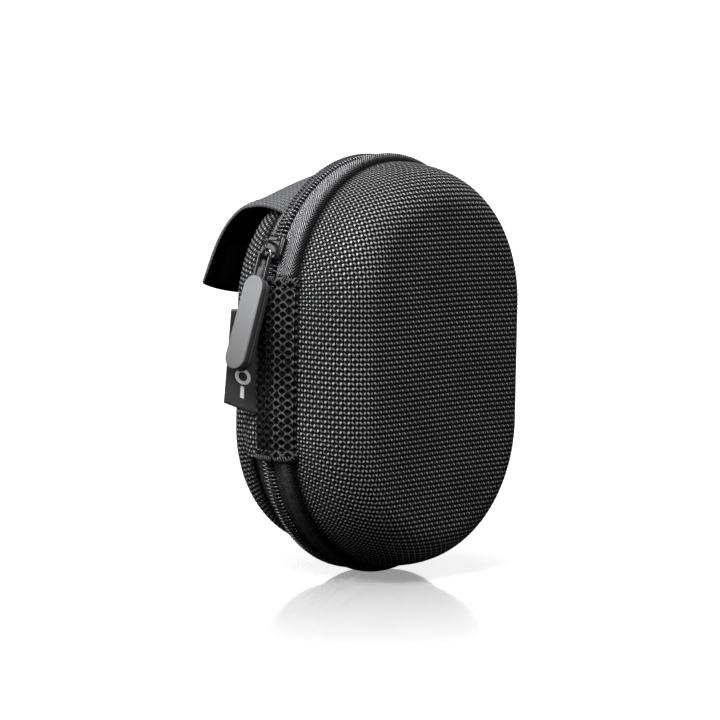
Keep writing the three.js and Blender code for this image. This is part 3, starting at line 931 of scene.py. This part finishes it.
# painted shade: beyond 7.4 mm from the strip's front edge its floats are painted at a quarter of
# their tone
lit_front_band = webbing.spread(from_front, 6.2, 7.4, 1, 0.25)
filament = (across * 44).math("SINE")
lint = webbing.spread(webbing.noise(90.0, 4.0), 0.35, 0.7)
float_tone = webbing.mix(lint, (0.04, 0.04, 0.041, 1), (0.07, 0.07, 0.072, 1))
# between the floats the webbing is painted almost black, a painted shade
webbing.wear(
    Base_Color=webbing.mix(long_floats * lit_front_band, (0.0004, 0.0004, 0.0005, 1), float_tone),
    Roughness=webbing.spread(crest, 0, 1, 0.9, 0.5),
    Coat_Weight=long_floats * lit_front_band * 0.2,
    Normal=webbing.bump(filament * 0.1 - from_float, 0.0002, 0.6),
)
strip_counts = (int(strip_across / strip_yarn_across * 7), int(strip_length / strip_yarn_up * 8))
strip = slab(
    "hinge_strip_webbing",
    lambda u, v: on_side(strip_run, strip_line, strip_across - u, v),
    (strip_across, strip_length),
    strip_counts,
    strip_thick,
    webbing.material,
    strip_relief,
)
bend_to_lid(strip)
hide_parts("hinge_strip")
strip_across * MM

# Behind the strip the back half's cloth comes forward to it, as a narrow gusset.
gusset_line, gusset_run = open_curve(
    [(0.5, 1.4), (0.1, 3.2), (0.2, 5.0), (0.8, 6.8), (1.9, 8.6), (3.3, 10.2), (5.0, 11.6)]
)
gusset = slab(
    "back_gusset_cloth",
    lambda u, v: on_side(gusset_run, gusset_line, gusset_run[-1] - u, v),
    (gusset_run[-1], strip_length),
    (36, 160),
    0.5,
    nylon.material,
)
# the gusset takes no painted shade at a seam, and its level yarns are painted as the lit ones, as
# on the side wall
gusset_points = len(gusset.data.vertices)
keep_values(gusset, "open", np.ones(gusset_points))
keep_values(gusset, "side_wall", np.ones(gusset_points))
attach(gusset, "back_half")
gusset_run[-1] * MM

# Sewing thread along the strip's ends and edges, one short rounded stitch at a time.
thread_radius = 0.16
thread = Finish("sewing_thread", {"Specular IOR Level": 0.5})
twist = thread.noise(3000.0, 1.0)
thread.wear(
    Base_Color=thread.mix(twist, (0.012, 0.012, 0.013, 1), (0.05, 0.05, 0.052, 1)),
    Roughness=thread.spread(twist, 0.3, 0.7, 0.4, 0.6),
)


def stitches(name, starts, ends, lift, radius=thread_radius):
    """Short bowed stitches from each start to its end; lift is the way out."""
    starts, ends, lift = (np.asarray(each, float) for each in (starts, ends, lift))
    rows, sides = 7, 6
    t = np.linspace(0, 1, rows)
    middle = starts[:, None] + (ends - starts)[:, None] * t[None, :, None]
    middle = middle + lift[:, None] * (radius * (2.2 * np.sin(math.pi * t) - 0.6))[None, :, None]
    ahead = ends - starts
    ahead /= np.linalg.norm(ahead, axis=1)[:, None]
    wide = np.cross(ahead, lift)
    wide /= np.linalg.norm(wide, axis=1)[:, None]
    high = np.cross(wide, ahead)
    turn = np.arange(sides) * 2 * math.pi / sides
    thick = radius * np.sqrt(np.sin(math.pi * np.clip(t, 0.06, 0.94)))
    ring = (
        np.cos(turn)[None, None, :, None] * wide[:, None, None]
        + np.sin(turn)[None, None, :, None] * high[:, None, None]
    )
    points = middle[:, :, None] + ring * thick[None, :, None, None]
    one = grid_faces(rows, sides, close_columns=True, flip=True)
    faces = (np.arange(len(starts))[:, None, None] * rows * sides + one).reshape(-1, 4)
    return make_piece(name, points, faces, thread.material)


def strip_stitches():
    starts, ends, lifts = [], [], []

    def row(points_at, count, duty=0.68):
        for k in range(count):
            a, b = points_at(k / count), points_at((k + duty) / count)
            starts.append(a[0])
            ends.append(b[0])
            lifts.append(a[1])

    def face_point(u, v):
        u, v = np.array([u, u + 0.1, u]), np.array([v, v, v + 0.1])
        p = on_side(strip_run, strip_line, u, v)
        normal = np.cross(p[2] - p[0], p[1] - p[0])
        normal /= np.linalg.norm(normal)
        return p[0] + normal * (strip_thick / 2 + 0.05), normal

    for v in (3.1, strip_length - 3.1):
        row(lambda t, v=v: face_point(0.8 + t * (strip_across - 1.6), v), 8)
    for u in (1.1, strip_across - 1.1):
        row(lambda t, u=u: face_point(u, 3.5 + t * (strip_length - 7)), 19)
    for v, way in ((0.4, 1), (strip_length - 0.4, -1)):
        for k in range(17):
            u = 0.7 + k * (strip_across - 1.4) / 17
            a, b = face_point(u, v), face_point(u + 0.7, v + way * 1.7)
            starts.append(a[0] + a[1] * 0.5)
            ends.append(b[0] + b[1] * 0.5)
            lifts.append(a[1])
    return stitches("hinge_strip_thread", starts, ends, lifts)


strip_thread = strip_stitches()
bend_to_lid(strip_thread)

# The hinge is lined inside with the knit of the halves.
hinge_line, hinge_run = open_curve(
    [(1.3, -7.3), (0.8, -5.6), (0.65, -3.6), (0.6, 0), (0.7, 3.4), (1.3, 4.9), (2.1, 5.9)]
)
hinge_lining = slab(
    "hinge_lining_cloth",
    lambda u, v: on_side(hinge_run, hinge_line, u, v),
    (hinge_run[-1], strip_length),
    (40, 90),
    0.7,
    knit.material,
)
bend_to_lid(hinge_lining)
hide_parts("hinge_lining")


# ------------------------------------------------------------------------ zip slider
# Cast zinc, tumbled and enamelled glossy black: an upper plate with turned-down rails,
# a lower plate inside the case, a neck between them, and a bridge for the puller.
slider_angle = math.radians(23.4)
along_zip = np.array([math.sin(slider_angle), 0, math.cos(slider_angle)])
out_of_zip = np.array([-math.cos(slider_angle), 0, math.sin(slider_angle)])
arc_middle = arc_centre - case_centre
plate_height = outline_radius + 1.25
bridge_back = -1.4

enamel = Finish(
    "black_enamel", {"Coat Weight": 0.2, "Coat Roughness": 0.06, "Specular IOR Level": 0.14}
)
cast = enamel.noise(260.0, 3.0)
rub_noise = enamel.spread(enamel.noise(500.0, 3.0), 0.45, 0.75)
enamel.wear(
    Base_Color=enamel.mix(rub_noise * 0.5, (0.003, 0.003, 0.0035, 1), (0.02, 0.02, 0.021, 1)),
    Roughness=enamel.spread(cast, 0.3, 0.7, 0.22, 0.32),
    Normal=enamel.bump(cast, 0.00004, 0.1),
)


def rounded_block(centre, size, radius, steps=7, taper=0.0):
    """Points and faces of a block with rolled edges; taper narrows its +X end."""
    t = np.linspace(-1, 1, steps)
    # closer rows of points near the edges
    t = np.sign(t) * np.abs(t) ** 0.6
    a, b = np.meshgrid(t, t)
    points, faces = [], []
    for axis in range(3):
        for way in (-1, 1):
            side = np.stack([a, b, np.full_like(a, way)], -1).reshape(-1, 3)
            side = np.roll(side, axis, axis=1)
            here = sum(len(p) for p in points)
            faces.append(grid_faces(steps, steps, flip=way < 0) + here)
            points.append(side)
    points = np.concatenate(points) * np.asarray(size) / 2
    core = np.asarray(size) / 2 - radius
    inner = np.clip(points, -core, core)
    away = points - inner
    points = inner + radius * away / np.maximum(np.linalg.norm(away, axis=1, keepdims=True), 1e-9)
    points[:, 1] *= 1 - taper * (points[:, 0] / size[0] + 0.5)
    return points + np.asarray(centre), np.concatenate(faces)


def tube_between(path, wide, thick, lift, square=2.6, sides=14, closed=False):
    """A bar with a softened rectangular section along a path; lift is across it."""
    path = np.asarray(path, float)
    if closed:
        ahead = np.roll(path, -1, 0) - np.roll(path, 1, 0)
    else:
        ahead = np.gradient(path, axis=0)
    ahead /= np.linalg.norm(ahead, axis=1)[:, None]
    lift = np.broadcast_to(lift, path.shape)
    outward = np.cross(ahead, lift)
    outward /= np.linalg.norm(outward, axis=1)[:, None]
    turn = np.arange(sides) * 2 * math.pi / sides
    c, s = np.cos(turn), np.sin(turn)
    a = np.sign(c) * np.abs(c) ** (2 / square) * wide / 2
    b = np.sign(s) * np.abs(s) ** (2 / square) * thick / 2
    points = path[:, None] + a[None, :, None] * lift[:, None] + b[None, :, None] * outward[:, None]
    faces = grid_faces(len(path), sides, closed, True)
    points = points.reshape(-1, 3)
    if not closed:
        points = np.concatenate([points, path[:1], path[-1:]])
        ring = np.arange(sides)
        here, last = len(points) - 2, len(points) - 1
        start = np.stack([ring, np.roll(ring, -1), np.full(sides, here), np.full(sides, here)], -1)
        far = ring + (len(path) - 1) * sides
        end = np.stack([np.roll(far, -1), far, np.full(sides, last), np.full(sides, last)], -1)
        faces = np.concatenate([faces, start, end])
    return points, faces


def built_up(name, parts, material, place=None):
    """One piece from several lots of points and quads; a quad may be a triangle."""
    shape = bmesh.new()
    for points, faces in parts:
        points = points if place is None else place(points)
        made = [shape.verts.new((point + case_centre) * MM) for point in points]
        for corners in faces:
            kept = list(dict.fromkeys(int(corner) for corner in corners))
            if len(kept) > 2:
                shape.faces.new([made[corner] for corner in kept])
    bmesh.ops.remove_doubles(shape, verts=shape.verts[:], dist=1e-7)
    bmesh.ops.recalc_face_normals(shape, faces=shape.faces[:])
    for face in shape.faces:
        face.smooth = True
    mesh = bpy.data.meshes.new(name)
    shape.to_mesh(mesh)
    shape.free()
    mesh.materials.append(material)
    piece = bpy.data.objects.new(name, mesh)
    bpy.context.scene.collection.objects.link(piece)
    return piece


def slider_place(points):
    x, y, z = points[:, :1], points[:, 1:2], points[:, 2:]
    return arc_middle + x * along_zip + y * np.array([0, 1.0, 0]) + z * out_of_zip


def bridge_path():
    t = np.linspace(0, 1, 25)
    angle = math.pi * (1 - t)
    x = bridge_back + 2.45 * np.sign(np.cos(angle)) * np.abs(np.cos(angle)) ** 0.7
    z = outline_radius + 1.5 + 3.2 * np.abs(np.sin(angle)) ** 0.62
    return np.stack([x, 0 * x, z], -1)


plate_parts = [
    rounded_block((0, 0, plate_height), (7.0, 7.2, 0.95), 0.45, taper=0.12),
    rounded_block((0.1, -3.3, plate_height - 0.25), (5.8, 1.15, 1.45), 0.5),
    rounded_block((0.1, 3.3, plate_height - 0.25), (5.8, 1.15, 1.45), 0.5),
    rounded_block((2.6, 0, plate_height + 0.25), (1.8, 4.4, 1.0), 0.45),
    rounded_block((1.8, 0, outline_radius - 0.5), (2.0, 0.5, 4.2), 0.2),
    rounded_block((0, 0, outline_radius - 2.4), (7.0, 6.9, 0.8), 0.35, taper=0.12),
    tube_between(bridge_path(), 1.7, 0.6, (0, 1.0, 0), 3.2),
]
slider = built_up("zip_slider_casting", plate_parts, enamel.material, slider_place)
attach(slider, "slider")
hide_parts("zip_slider")


# ---------------------------------------------------------------------------- puller
# A ring of bright-drawn wire through the bridge, with a rubber tab moulded round its
# lower end. The tab has a flat face, a rolled edge, and a parting line round its side.
swing_axis = np.array(joints["puller_swing"]["pos_m"]) / MM - case_centre
hangs = np.array([-0.25, 0.1, -1.0])
hangs /= np.linalg.norm(hangs)
up_tab = -hangs
across_tab = np.array([0, 1.0, 0]) - up_tab * up_tab[1]
across_tab /= np.linalg.norm(across_tab)
face_tab = np.cross(across_tab, up_tab)
wire_radius = 0.52
wire_half = 1.9
tab_top = 7.4
tab_half_top = 3.55
tab_half_foot = 3.75
tab_length = 26.2


def puller_place(points):
    outwards, sideways, upwards = points[:, :1], points[:, 1:2], points[:, 2:]
    return swing_axis + outwards * face_tab + sideways * across_tab + upwards * up_tab


def wire_path(count=96):
    """A ring in the tab's plane, with round corners, drawn in a little lower down."""
    t = np.arange(count) * 2 * math.pi / count
    y = wire_half * np.sign(np.cos(t)) * np.abs(np.cos(t)) ** 0.34
    z = np.sign(np.sin(t)) * np.abs(np.sin(t)) ** 0.5
    low = -(tab_top + 2.6)
    z = low / 2 + (0.0 - low) / 2 * z
    return np.stack([0 * t, y, z], -1)


plated = Finish(
    "black_plated_wire", {"Coat Weight": 1.0, "Coat Roughness": 0.05, "Specular IOR Level": 0.8}
)
drawn_lines = plated.noise(900.0, 2.0)
plated.wear(
    Base_Color=plated.mix(drawn_lines, (0.03, 0.03, 0.032, 1), (0.09, 0.09, 0.093, 1)),
    Metallic=plated.spread(drawn_lines, 0.3, 0.7, 0.75, 0.95),
    Roughness=plated.spread(drawn_lines, 0.3, 0.7, 0.12, 0.24),
)
wire = built_up(
    "puller_wire_ring",
    [tube_between(wire_path(), 2 * wire_radius, 2 * wire_radius, (1.0, 0, 0), 2, 12, True)],
    plated.material,
    puller_place,
)
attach(wire, "puller")
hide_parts("puller_wire")


def tab_parts(count=72):
    """The tab's skin: its outline in steps from the middle of one face to the other,
    and quads that close both faces."""
    edge = [
        (3.2, 1.7), (2.6, 1.7), (1.9, 1.71), (1.2, 1.73), (0.6, 1.74), (0.2, 1.74),
        (0.12, 1.66), (0.08, 1.6), (0.04, 1.5), (0.0, 1.35), (0.0, 0.6), (0.0, 0.14),
        (0.1, 0.05),
    ]
    rim = edge + [(inset, -height) for inset, height in reversed(edge)]
    angle = np.arange(count) * 2 * math.pi / count
    upper = np.sin(angle) >= 0
    half = np.where(upper, tab_half_top, tab_half_foot)
    end = np.where(upper, -(tab_top + tab_half_top), -(tab_top + tab_length - tab_half_foot))
    rows = []
    for inset, height in rim:
        wide, high = (half - inset) * np.cos(angle), (half - inset) * np.sin(angle)
        rows.append(np.stack([np.full(count, height), wide, end + high], -1))
    faces = grid_faces(len(rim), count, close_columns=True)
    last = (len(rim) - 1) * count
    quarter = count // 4
    caps = []
    for k in range(count // 2 - 1):
        a, b = (quarter + k) % count, (quarter + k + 1) % count
        c, d = (quarter - 1 - k) % count, (quarter - k) % count
        caps.append((a, b, c, d))
        caps.append((last + b, last + a, last + d, last + c))
    return np.concatenate(rows), np.concatenate([faces, np.array(caps)])


rubber = Finish("tab_rubber", {"Specular IOR Level": 0.3})
grain = rubber.noise(1400.0, 3.0)
smudge = rubber.spread(rubber.noise(70.0, 3.0), 0.4, 0.7)
# painted light: the flat faces are painted paler than the sides, which are the shaded copy, and
# paler again towards the top, as if lit from above; the sides carry a random smudge tone
raised = rubber.node("Attribute", {"attribute_name": "face"}, output=2)
painted_light_from_above = rubber.node("Attribute", {"attribute_name": "up"}, output=2)
lit_face_tone = rubber.mix(painted_light_from_above, (0.038, 0.038, 0.039, 1), (0.114, 0.115, 0.119, 1))
shaded_side_tone = rubber.mix(smudge, (0.035, 0.035, 0.036, 1), (0.05, 0.05, 0.052, 1))
rubber.wear(
    Base_Color=rubber.mix(raised, shaded_side_tone, lit_face_tone),
    Roughness=rubber.spread(smudge, 0, 1, 0.46, 0.56),
    Normal=rubber.bump(grain, 0.00008, 0.4),
)
neck = rounded_block((0, 0, -tab_top + 0.9), (1.7, 2.1, 3.4), 0.8)
tab = built_up("pull_tab_rubber", [tab_parts(), neck], rubber.material, puller_place)
skin = np.array([point.co for point in tab.data.vertices]) / MM - case_centre - swing_axis
# face marks the tab's flat faces, and up rises from its foot to near its top; both carry the
# painted light on the tab
keep_values(tab, "face", np.clip((np.abs(skin @ face_tab) - 1.63) / 0.06, 0, 1))
keep_values(tab, "up", np.clip((skin @ up_tab + tab_top + tab_length) / (0.75 * tab_length), 0, 1))
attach(tab, "puller")
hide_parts("pull_tab")


# ------------------------------------------------------------------------ side label
# A satin ribbon, folded double and caught in the rear seam. Its woven mark is a plain
# ring and bar.
label_root = np.array([0.1 - outline_radius, 3.0, 45.0 - foot_to_centre])
label_out = np.array([-math.sqrt(0.5), math.sqrt(0.5), 0])
label_reach = 9.3
label_height = 29.0


def label_place(u, v):
    """u is out along one leaf, round the fold and back; v is up the ribbon."""
    leaf = label_reach
    bow = 0.55
    out = (leaf - np.abs(u - leaf)) * (1 - 0.2 * v / label_height)
    share = out / leaf
    apart = bow * np.sqrt(np.clip(1 - share**3, 0, 1)) * (0.35 + 0.65 * (1 - share))
    side = np.sign(u - leaf) * apart
    wave = 0.35 * np.sin(v / 8 + 0.5) * share**2
    drop = 3.4 * share * (1 - v / label_height)
    across_leaf = np.array([math.sqrt(0.5), math.sqrt(0.5), 0])
    place = label_root + out[..., None] * label_out + (side + wave)[..., None] * across_leaf
    place[..., 2] += v + drop
    return place


satin = Finish(
    "label_satin", {"Specular IOR Level": 0.4, "Sheen Weight": 0.3, "Sheen Roughness": 0.3}
)
across, along = satin.cloth_place()
floats = (across * 26).math("SINE") * 0.5 + (along * 17).math("SINE") * 0.5
shine = satin.noise(160.0, 2.0)
ground = satin.mix(
    satin.spread(floats + shine, -0.4, 1.2), (0.004, 0.004, 0.004, 1), (0.018, 0.018, 0.019, 1)
)
from_ring = ((across - 4.35) ** 2 + (along - 9.6) ** 2).math("SQRT")
ring_mark = (from_ring - 1.75).math("ABSOLUTE").math("LESS_THAN", 0.5)
beside_bar, above_bar = (across - 4.35).math("ABSOLUTE"), (along - 5.1).math("ABSOLUTE")
in_bar = beside_bar.math("LESS_THAN", 0.5) * above_bar.math("LESS_THAN", 1.7)
marked = ring_mark.math("MAXIMUM", in_bar)
satin.wear(
    Base_Color=satin.mix(marked, ground, (0.55, 0.55, 0.55, 1)),
    Roughness=satin.spread(shine, 0.3, 0.7, 0.38, 0.55),
    Normal=satin.bump(floats, 0.00005, 0.5),
)
label = slab(
    "side_label_ribbon", label_place, (2 * label_reach, label_height), (60, 60), 0.28,
    satin.material, edge=0.15,
)
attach(label, "back_half")
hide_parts("side_label")


# ------------------------------------------------------------------------- belt flap
# A wide strap of fine woven nylon with its edges turned under and sewn. It leaves the
# rear seam along the top arc and hangs down behind the case. It is one cloth, which
# bends near its root.
flap_half_width = 28.0
flap_edge = [
    (6.1, 100.4), (9.5, 101.2), (13.5, 101.6), (17.5, 101.2), (22.6, 99.3), (29.2, 92.4),
    (36.3, 78.4),
]
flap_middle = [
    (6.1, 112.5), (10, 111.6), (13, 110.9), (16.5, 109.3), (20, 106.8), (25, 103.6),
    (31, 99.5), (37, 91.5), (40, 83), (40.6, 74.3),
]
flap_arc = 38.0
flap_thick = 1.1
flap_hug = 0.2  # how much closer than its seam the flap lies to the shell, sideways
flap_hug_start = 0.14  # share of the length where it lies so
flap_length = 52.4
flap_sink = 1.1  # how much lower the flap's root lies than its sewn curve
hook_start = (0.2, 0.72)  # the hook patch's corner, as shares of the half width and length


def flap_place(u, v):
    across = u / flap_half_width - 1
    along = v / flap_length
    rise = flap_arc - np.sqrt(flap_arc**2 - (across * flap_half_width) ** 2)
    share = rise / (flap_arc - math.sqrt(flap_arc**2 - flap_half_width**2))
    hug = flap_hug * np.clip(along / flap_hug_start, 0, 1)
    share = (share.clip(0) ** (1 - hug))[..., None]
    lines = []
    for points in (flap_middle, flap_edge):
        line, run = open_curve(points)
        lines.append(
            np.stack([np.interp(along * run[-1], run, line[:, k]) for k in (0, 1)], -1)
        )
    middle, edge = lines
    place = middle + (edge - middle) * share
    settled = flap_sink * np.clip(1 - along / 0.45, 0, 1)
    up = place[..., 1] - foot_to_centre - settled
    return np.stack([across * flap_half_width, place[..., 0], up], -1)


def flap_hem(u, v):
    """The turned edge is thicker, with a soft valley along its stitching."""
    rim = np.minimum(np.minimum(u, 2 * flap_half_width - u), flap_length - v)
    hem = 0.28 / (1 + np.exp((rim - 4.2) * 3.5))
    valley = 0.14 * np.exp(-(((rim - 3.4) / 0.35) ** 2))
    creased = 0.12 * np.sin(u / 5.2 + v / 11) * np.sin(v / 9 + 1)
    return hem - valley + creased


strap = Finish("flap_nylon", {"Specular IOR Level": 0.03})
across, along = strap.cloth_place()
flap_yarn = 0.85
rows_up = (across * (math.pi / flap_yarn)).math("SINE")
rows_on = (along * (math.pi / flap_yarn)).math("SINE")
checks = rows_up * rows_on
soft = strap.noise(1500.0, 3.0)
face = strap.node("Attribute", {"attribute_name": "relief"}, output=2)
# the inner face, which lies towards the case, is painted almost black, a painted shade; on the
# outer face the low parts of the weave are painted near black, a painted shade between the yarns
outer_face = face.math("GREATER_THAN", -0.6)
ridges = rows_up.math("ABSOLUTE") + rows_on.math("ABSOLUTE")
weave_height = ridges * 0.4 + checks * 0.2 + soft * 0.4
outer_tone = strap.mix(
    strap.spread(weave_height, 0.3, 1.0), (0.001, 0.001, 0.0012, 1), (0.1, 0.101, 0.104, 1)
)
strap.wear(
    Base_Color=strap.mix(outer_face, (0.0003, 0.0003, 0.0003, 1), outer_tone),
    Roughness=strap.spread(soft, 0.3, 0.7, 0.6, 0.85),
    Normal=strap.bump(weave_height, 0.00012, 0.8),
)


def on_hinge_of_flap(piece):
    """Bakes the flap's placing into its points; it is attached to no body and does not turn at a
    hinge.
    """
    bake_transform(piece)


flap = slab(
    "belt_flap_strap", flap_place, (2 * flap_half_width, flap_length), (150, 130), flap_thick,
    strap.material, flap_hem, 0.5, under=lambda u, v: flap_hem(u, v) * 0.6,
)
on_hinge_of_flap(flap)
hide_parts("belt_flap", "belt_flap_root")


def flap_stitches():
    starts, ends, lifts = [], [], []
    inset = 3.4
    wide, long = 2 * flap_half_width, flap_length
    corners = [
        (inset, 1.0), (inset, long - inset), (wide - inset, long - inset), (wide - inset, 1.0),
    ]
    for (u0, v0), (u1, v1) in zip(corners, corners[1:]):
        run = math.hypot(u1 - u0, v1 - v0)
        count = int(run / 2.6)
        for k in range(count):
            share = np.array([k / count, (k + 0.72) / count])
            u = u0 + (u1 - u0) * share
            v = v0 + (v1 - v0) * share
            p = flap_place(u, v)
            q = flap_place(u + 0.1, v)
            r = flap_place(u, v + 0.1)
            normal = np.cross(q[0] - p[0], r[0] - p[0])
            normal /= np.linalg.norm(normal)
            lift = normal * (flap_thick / 2 + flap_hem(u, v)[0] - 0.15)
            starts.append(p[0] + lift)
            ends.append(p[1] + lift)
            lifts.append(normal)
    return stitches("belt_flap_thread", starts, ends, lifts)


flap_thread = flap_stitches()
on_hinge_of_flap(flap_thread)


# ---------------------------------------------------------------- hook and loop patch
# A hook patch under the flap's free end closes on a loop patch on the back. Both are
# knitted tapes with a dense pile and a flat selvedge all round.
pile = Finish("patch_pile", {"Specular IOR Level": 0.05})
tufts = pile.noise(2400.0, 3.0)
height = pile.node("Attribute", {"attribute_name": "relief"}, output=2)
tips = pile.spread(height + tufts * 0.2, 0, 0.4)
pile.wear(
    Base_Color=pile.mix(tips, (0.0005, 0.0005, 0.0005, 1), (0.004, 0.004, 0.004, 1)),
    Roughness=pile.spread(tufts, 0.3, 0.7, 0.8, 1.0),
    Normal=pile.bump(tufts, 0.0003, 0.9),
)


def pile_relief(size):
    def relief(u, v):
        rim = np.minimum.reduce([u, size[0] - u, v, size[1] - v])
        grown = np.clip((rim - 1.1) / 0.4, 0, 1)
        tuft = 0.5 + 0.5 * np.sin(u * 5.1 + np.sin(v * 3.3)) * np.sin(v * 5.6 + np.sin(u * 2.7))
        return grown * (0.15 + 0.22 * tuft)

    return relief


hook_size = (44.8, 13.0)


def hook_place(u, v):
    across = flap_half_width * hook_start[0] + u
    along = flap_length * hook_start[1] + v
    base = flap_place(across, along)
    ahead = flap_place(across, along + 0.1) - base
    sideways = flap_place(across + 0.1, along) - base
    normal = np.cross(sideways, ahead)
    normal /= np.linalg.norm(normal, axis=-1, keepdims=True)
    under = base - normal * 1.3
    return under[..., ::-1, :]


hook = slab(
    "hook_patch_pile", hook_place, hook_size, (150, 46), 0.6, pile.material,
    pile_relief(hook_size), 0.2,
)
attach(hook, "flap")
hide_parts("hook_patch")

loop_size = (30.0, 26.0)
loop_foot = 52.0  # height of its lower edge
loop_face = back_half["depth"] + back_half["crown"] + 0.55


def loop_place(u, v):
    return np.stack([loop_size[0] / 2 - u, 0 * u + loop_face, v + loop_foot - foot_to_centre], -1)


loops = slab(
    "loop_patch_pile", loop_place, loop_size, (100, 88), 0.6, pile.material,
    pile_relief(loop_size), 0.2,
)
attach(loops, "back_half")
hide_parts("loop_patch")


# ----------------------------------------------------------------------- lid pocket
# An open knitted net, sewn to the lid's lining round its edge, with a ribbed elastic
# along its top. The net is one lattice of thin cords.
net_depth = -(front_half["depth"] - 8.4) + 0.3
net_cell = 2.1
net_cord = 0.26
net_radius = outline_radius - front_half["seam"] - front_half["corner"] - 3
pocket_top = 70 - foot_to_centre
netting = Finish("pocket_netting", {"Specular IOR Level": 0.3, "Sheen Weight": 0.2})
lay = netting.noise(2000.0, 2.0)
netting.wear(
    Base_Color=netting.mix(lay, (0.008, 0.008, 0.009, 1), (0.03, 0.03, 0.032, 1)),
    Roughness=netting.spread(lay, 0.3, 0.7, 0.6, 0.8),
)


def pocket_net():
    shape = bmesh.new()
    rows = int(2 * 45 / net_cell)
    found = {}

    def corner(i, j):
        """A lattice corner, and whether it lies inside the net's rim."""
        x = (i - rows) * net_cell / 2
        z = (j - rows) * net_cell / 2
        if (i, j) not in found:
            anchor = max(-half_straight, min(z, half_straight))
            belly = -0.5 * math.cos(min(1, abs(x) / net_radius) * math.pi / 2)
            place = (np.array([x, net_depth + belly * 0.6, z]) + case_centre) * MM
            inside = math.hypot(x, z - anchor) < net_radius and z < pocket_top
            found[i, j] = shape.verts.new(place), inside
        return found[i, j]

    for i in range(1, 2 * rows):
        for j in range(1, 2 * rows):
            if (i + j) % 2:
                continue
            around = [corner(i + 1, j), corner(i, j + 1), corner(i - 1, j), corner(i, j - 1)]
            if all(inside for _, inside in around):
                shape.faces.new([point for point, _ in around])
    for point in [p for p in shape.verts if not p.link_faces]:
        shape.verts.remove(point)
    mesh = bpy.data.meshes.new("pocket_net_cords")
    shape.to_mesh(mesh)
    shape.free()
    mesh.materials.append(netting.material)
    piece = bpy.data.objects.new("pocket_net_cords", mesh)
    bpy.context.scene.collection.objects.link(piece)
    cords = piece.modifiers.new("cords", "WIREFRAME")
    cords.thickness = net_cord * MM
    cords.use_boundary = True
    cords.use_replace = True
    return piece


net = pocket_net()
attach(net, "lid")
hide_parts("pocket_net")

elastic_width = 5.0
elastic_low = pocket_top + 0.3


def elastic_place(u, v):
    z = elastic_low + v
    half = np.sqrt(net_radius**2 - np.clip(z - half_straight, 0, None) ** 2) - 0.1
    x = (1 - u / elastic_span * 2) * half
    return np.stack([x, 0 * x + net_depth - 0.25 * np.cos(x / net_radius * 1.5), z], -1)


elastic_span = 48.0
elastic = slab(
    "pocket_elastic_band",
    elastic_place,
    (elastic_span, elastic_width),
    (240, 26),
    0.8,
    tape_binding.material,
    lambda u, v: 0.14 * np.sin(v * 2 * math.pi / 1.0) + 0.06 * np.sin(u * 2 * math.pi / 0.8),
    0.3,
)
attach(elastic, "lid")
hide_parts("pocket_elastic")
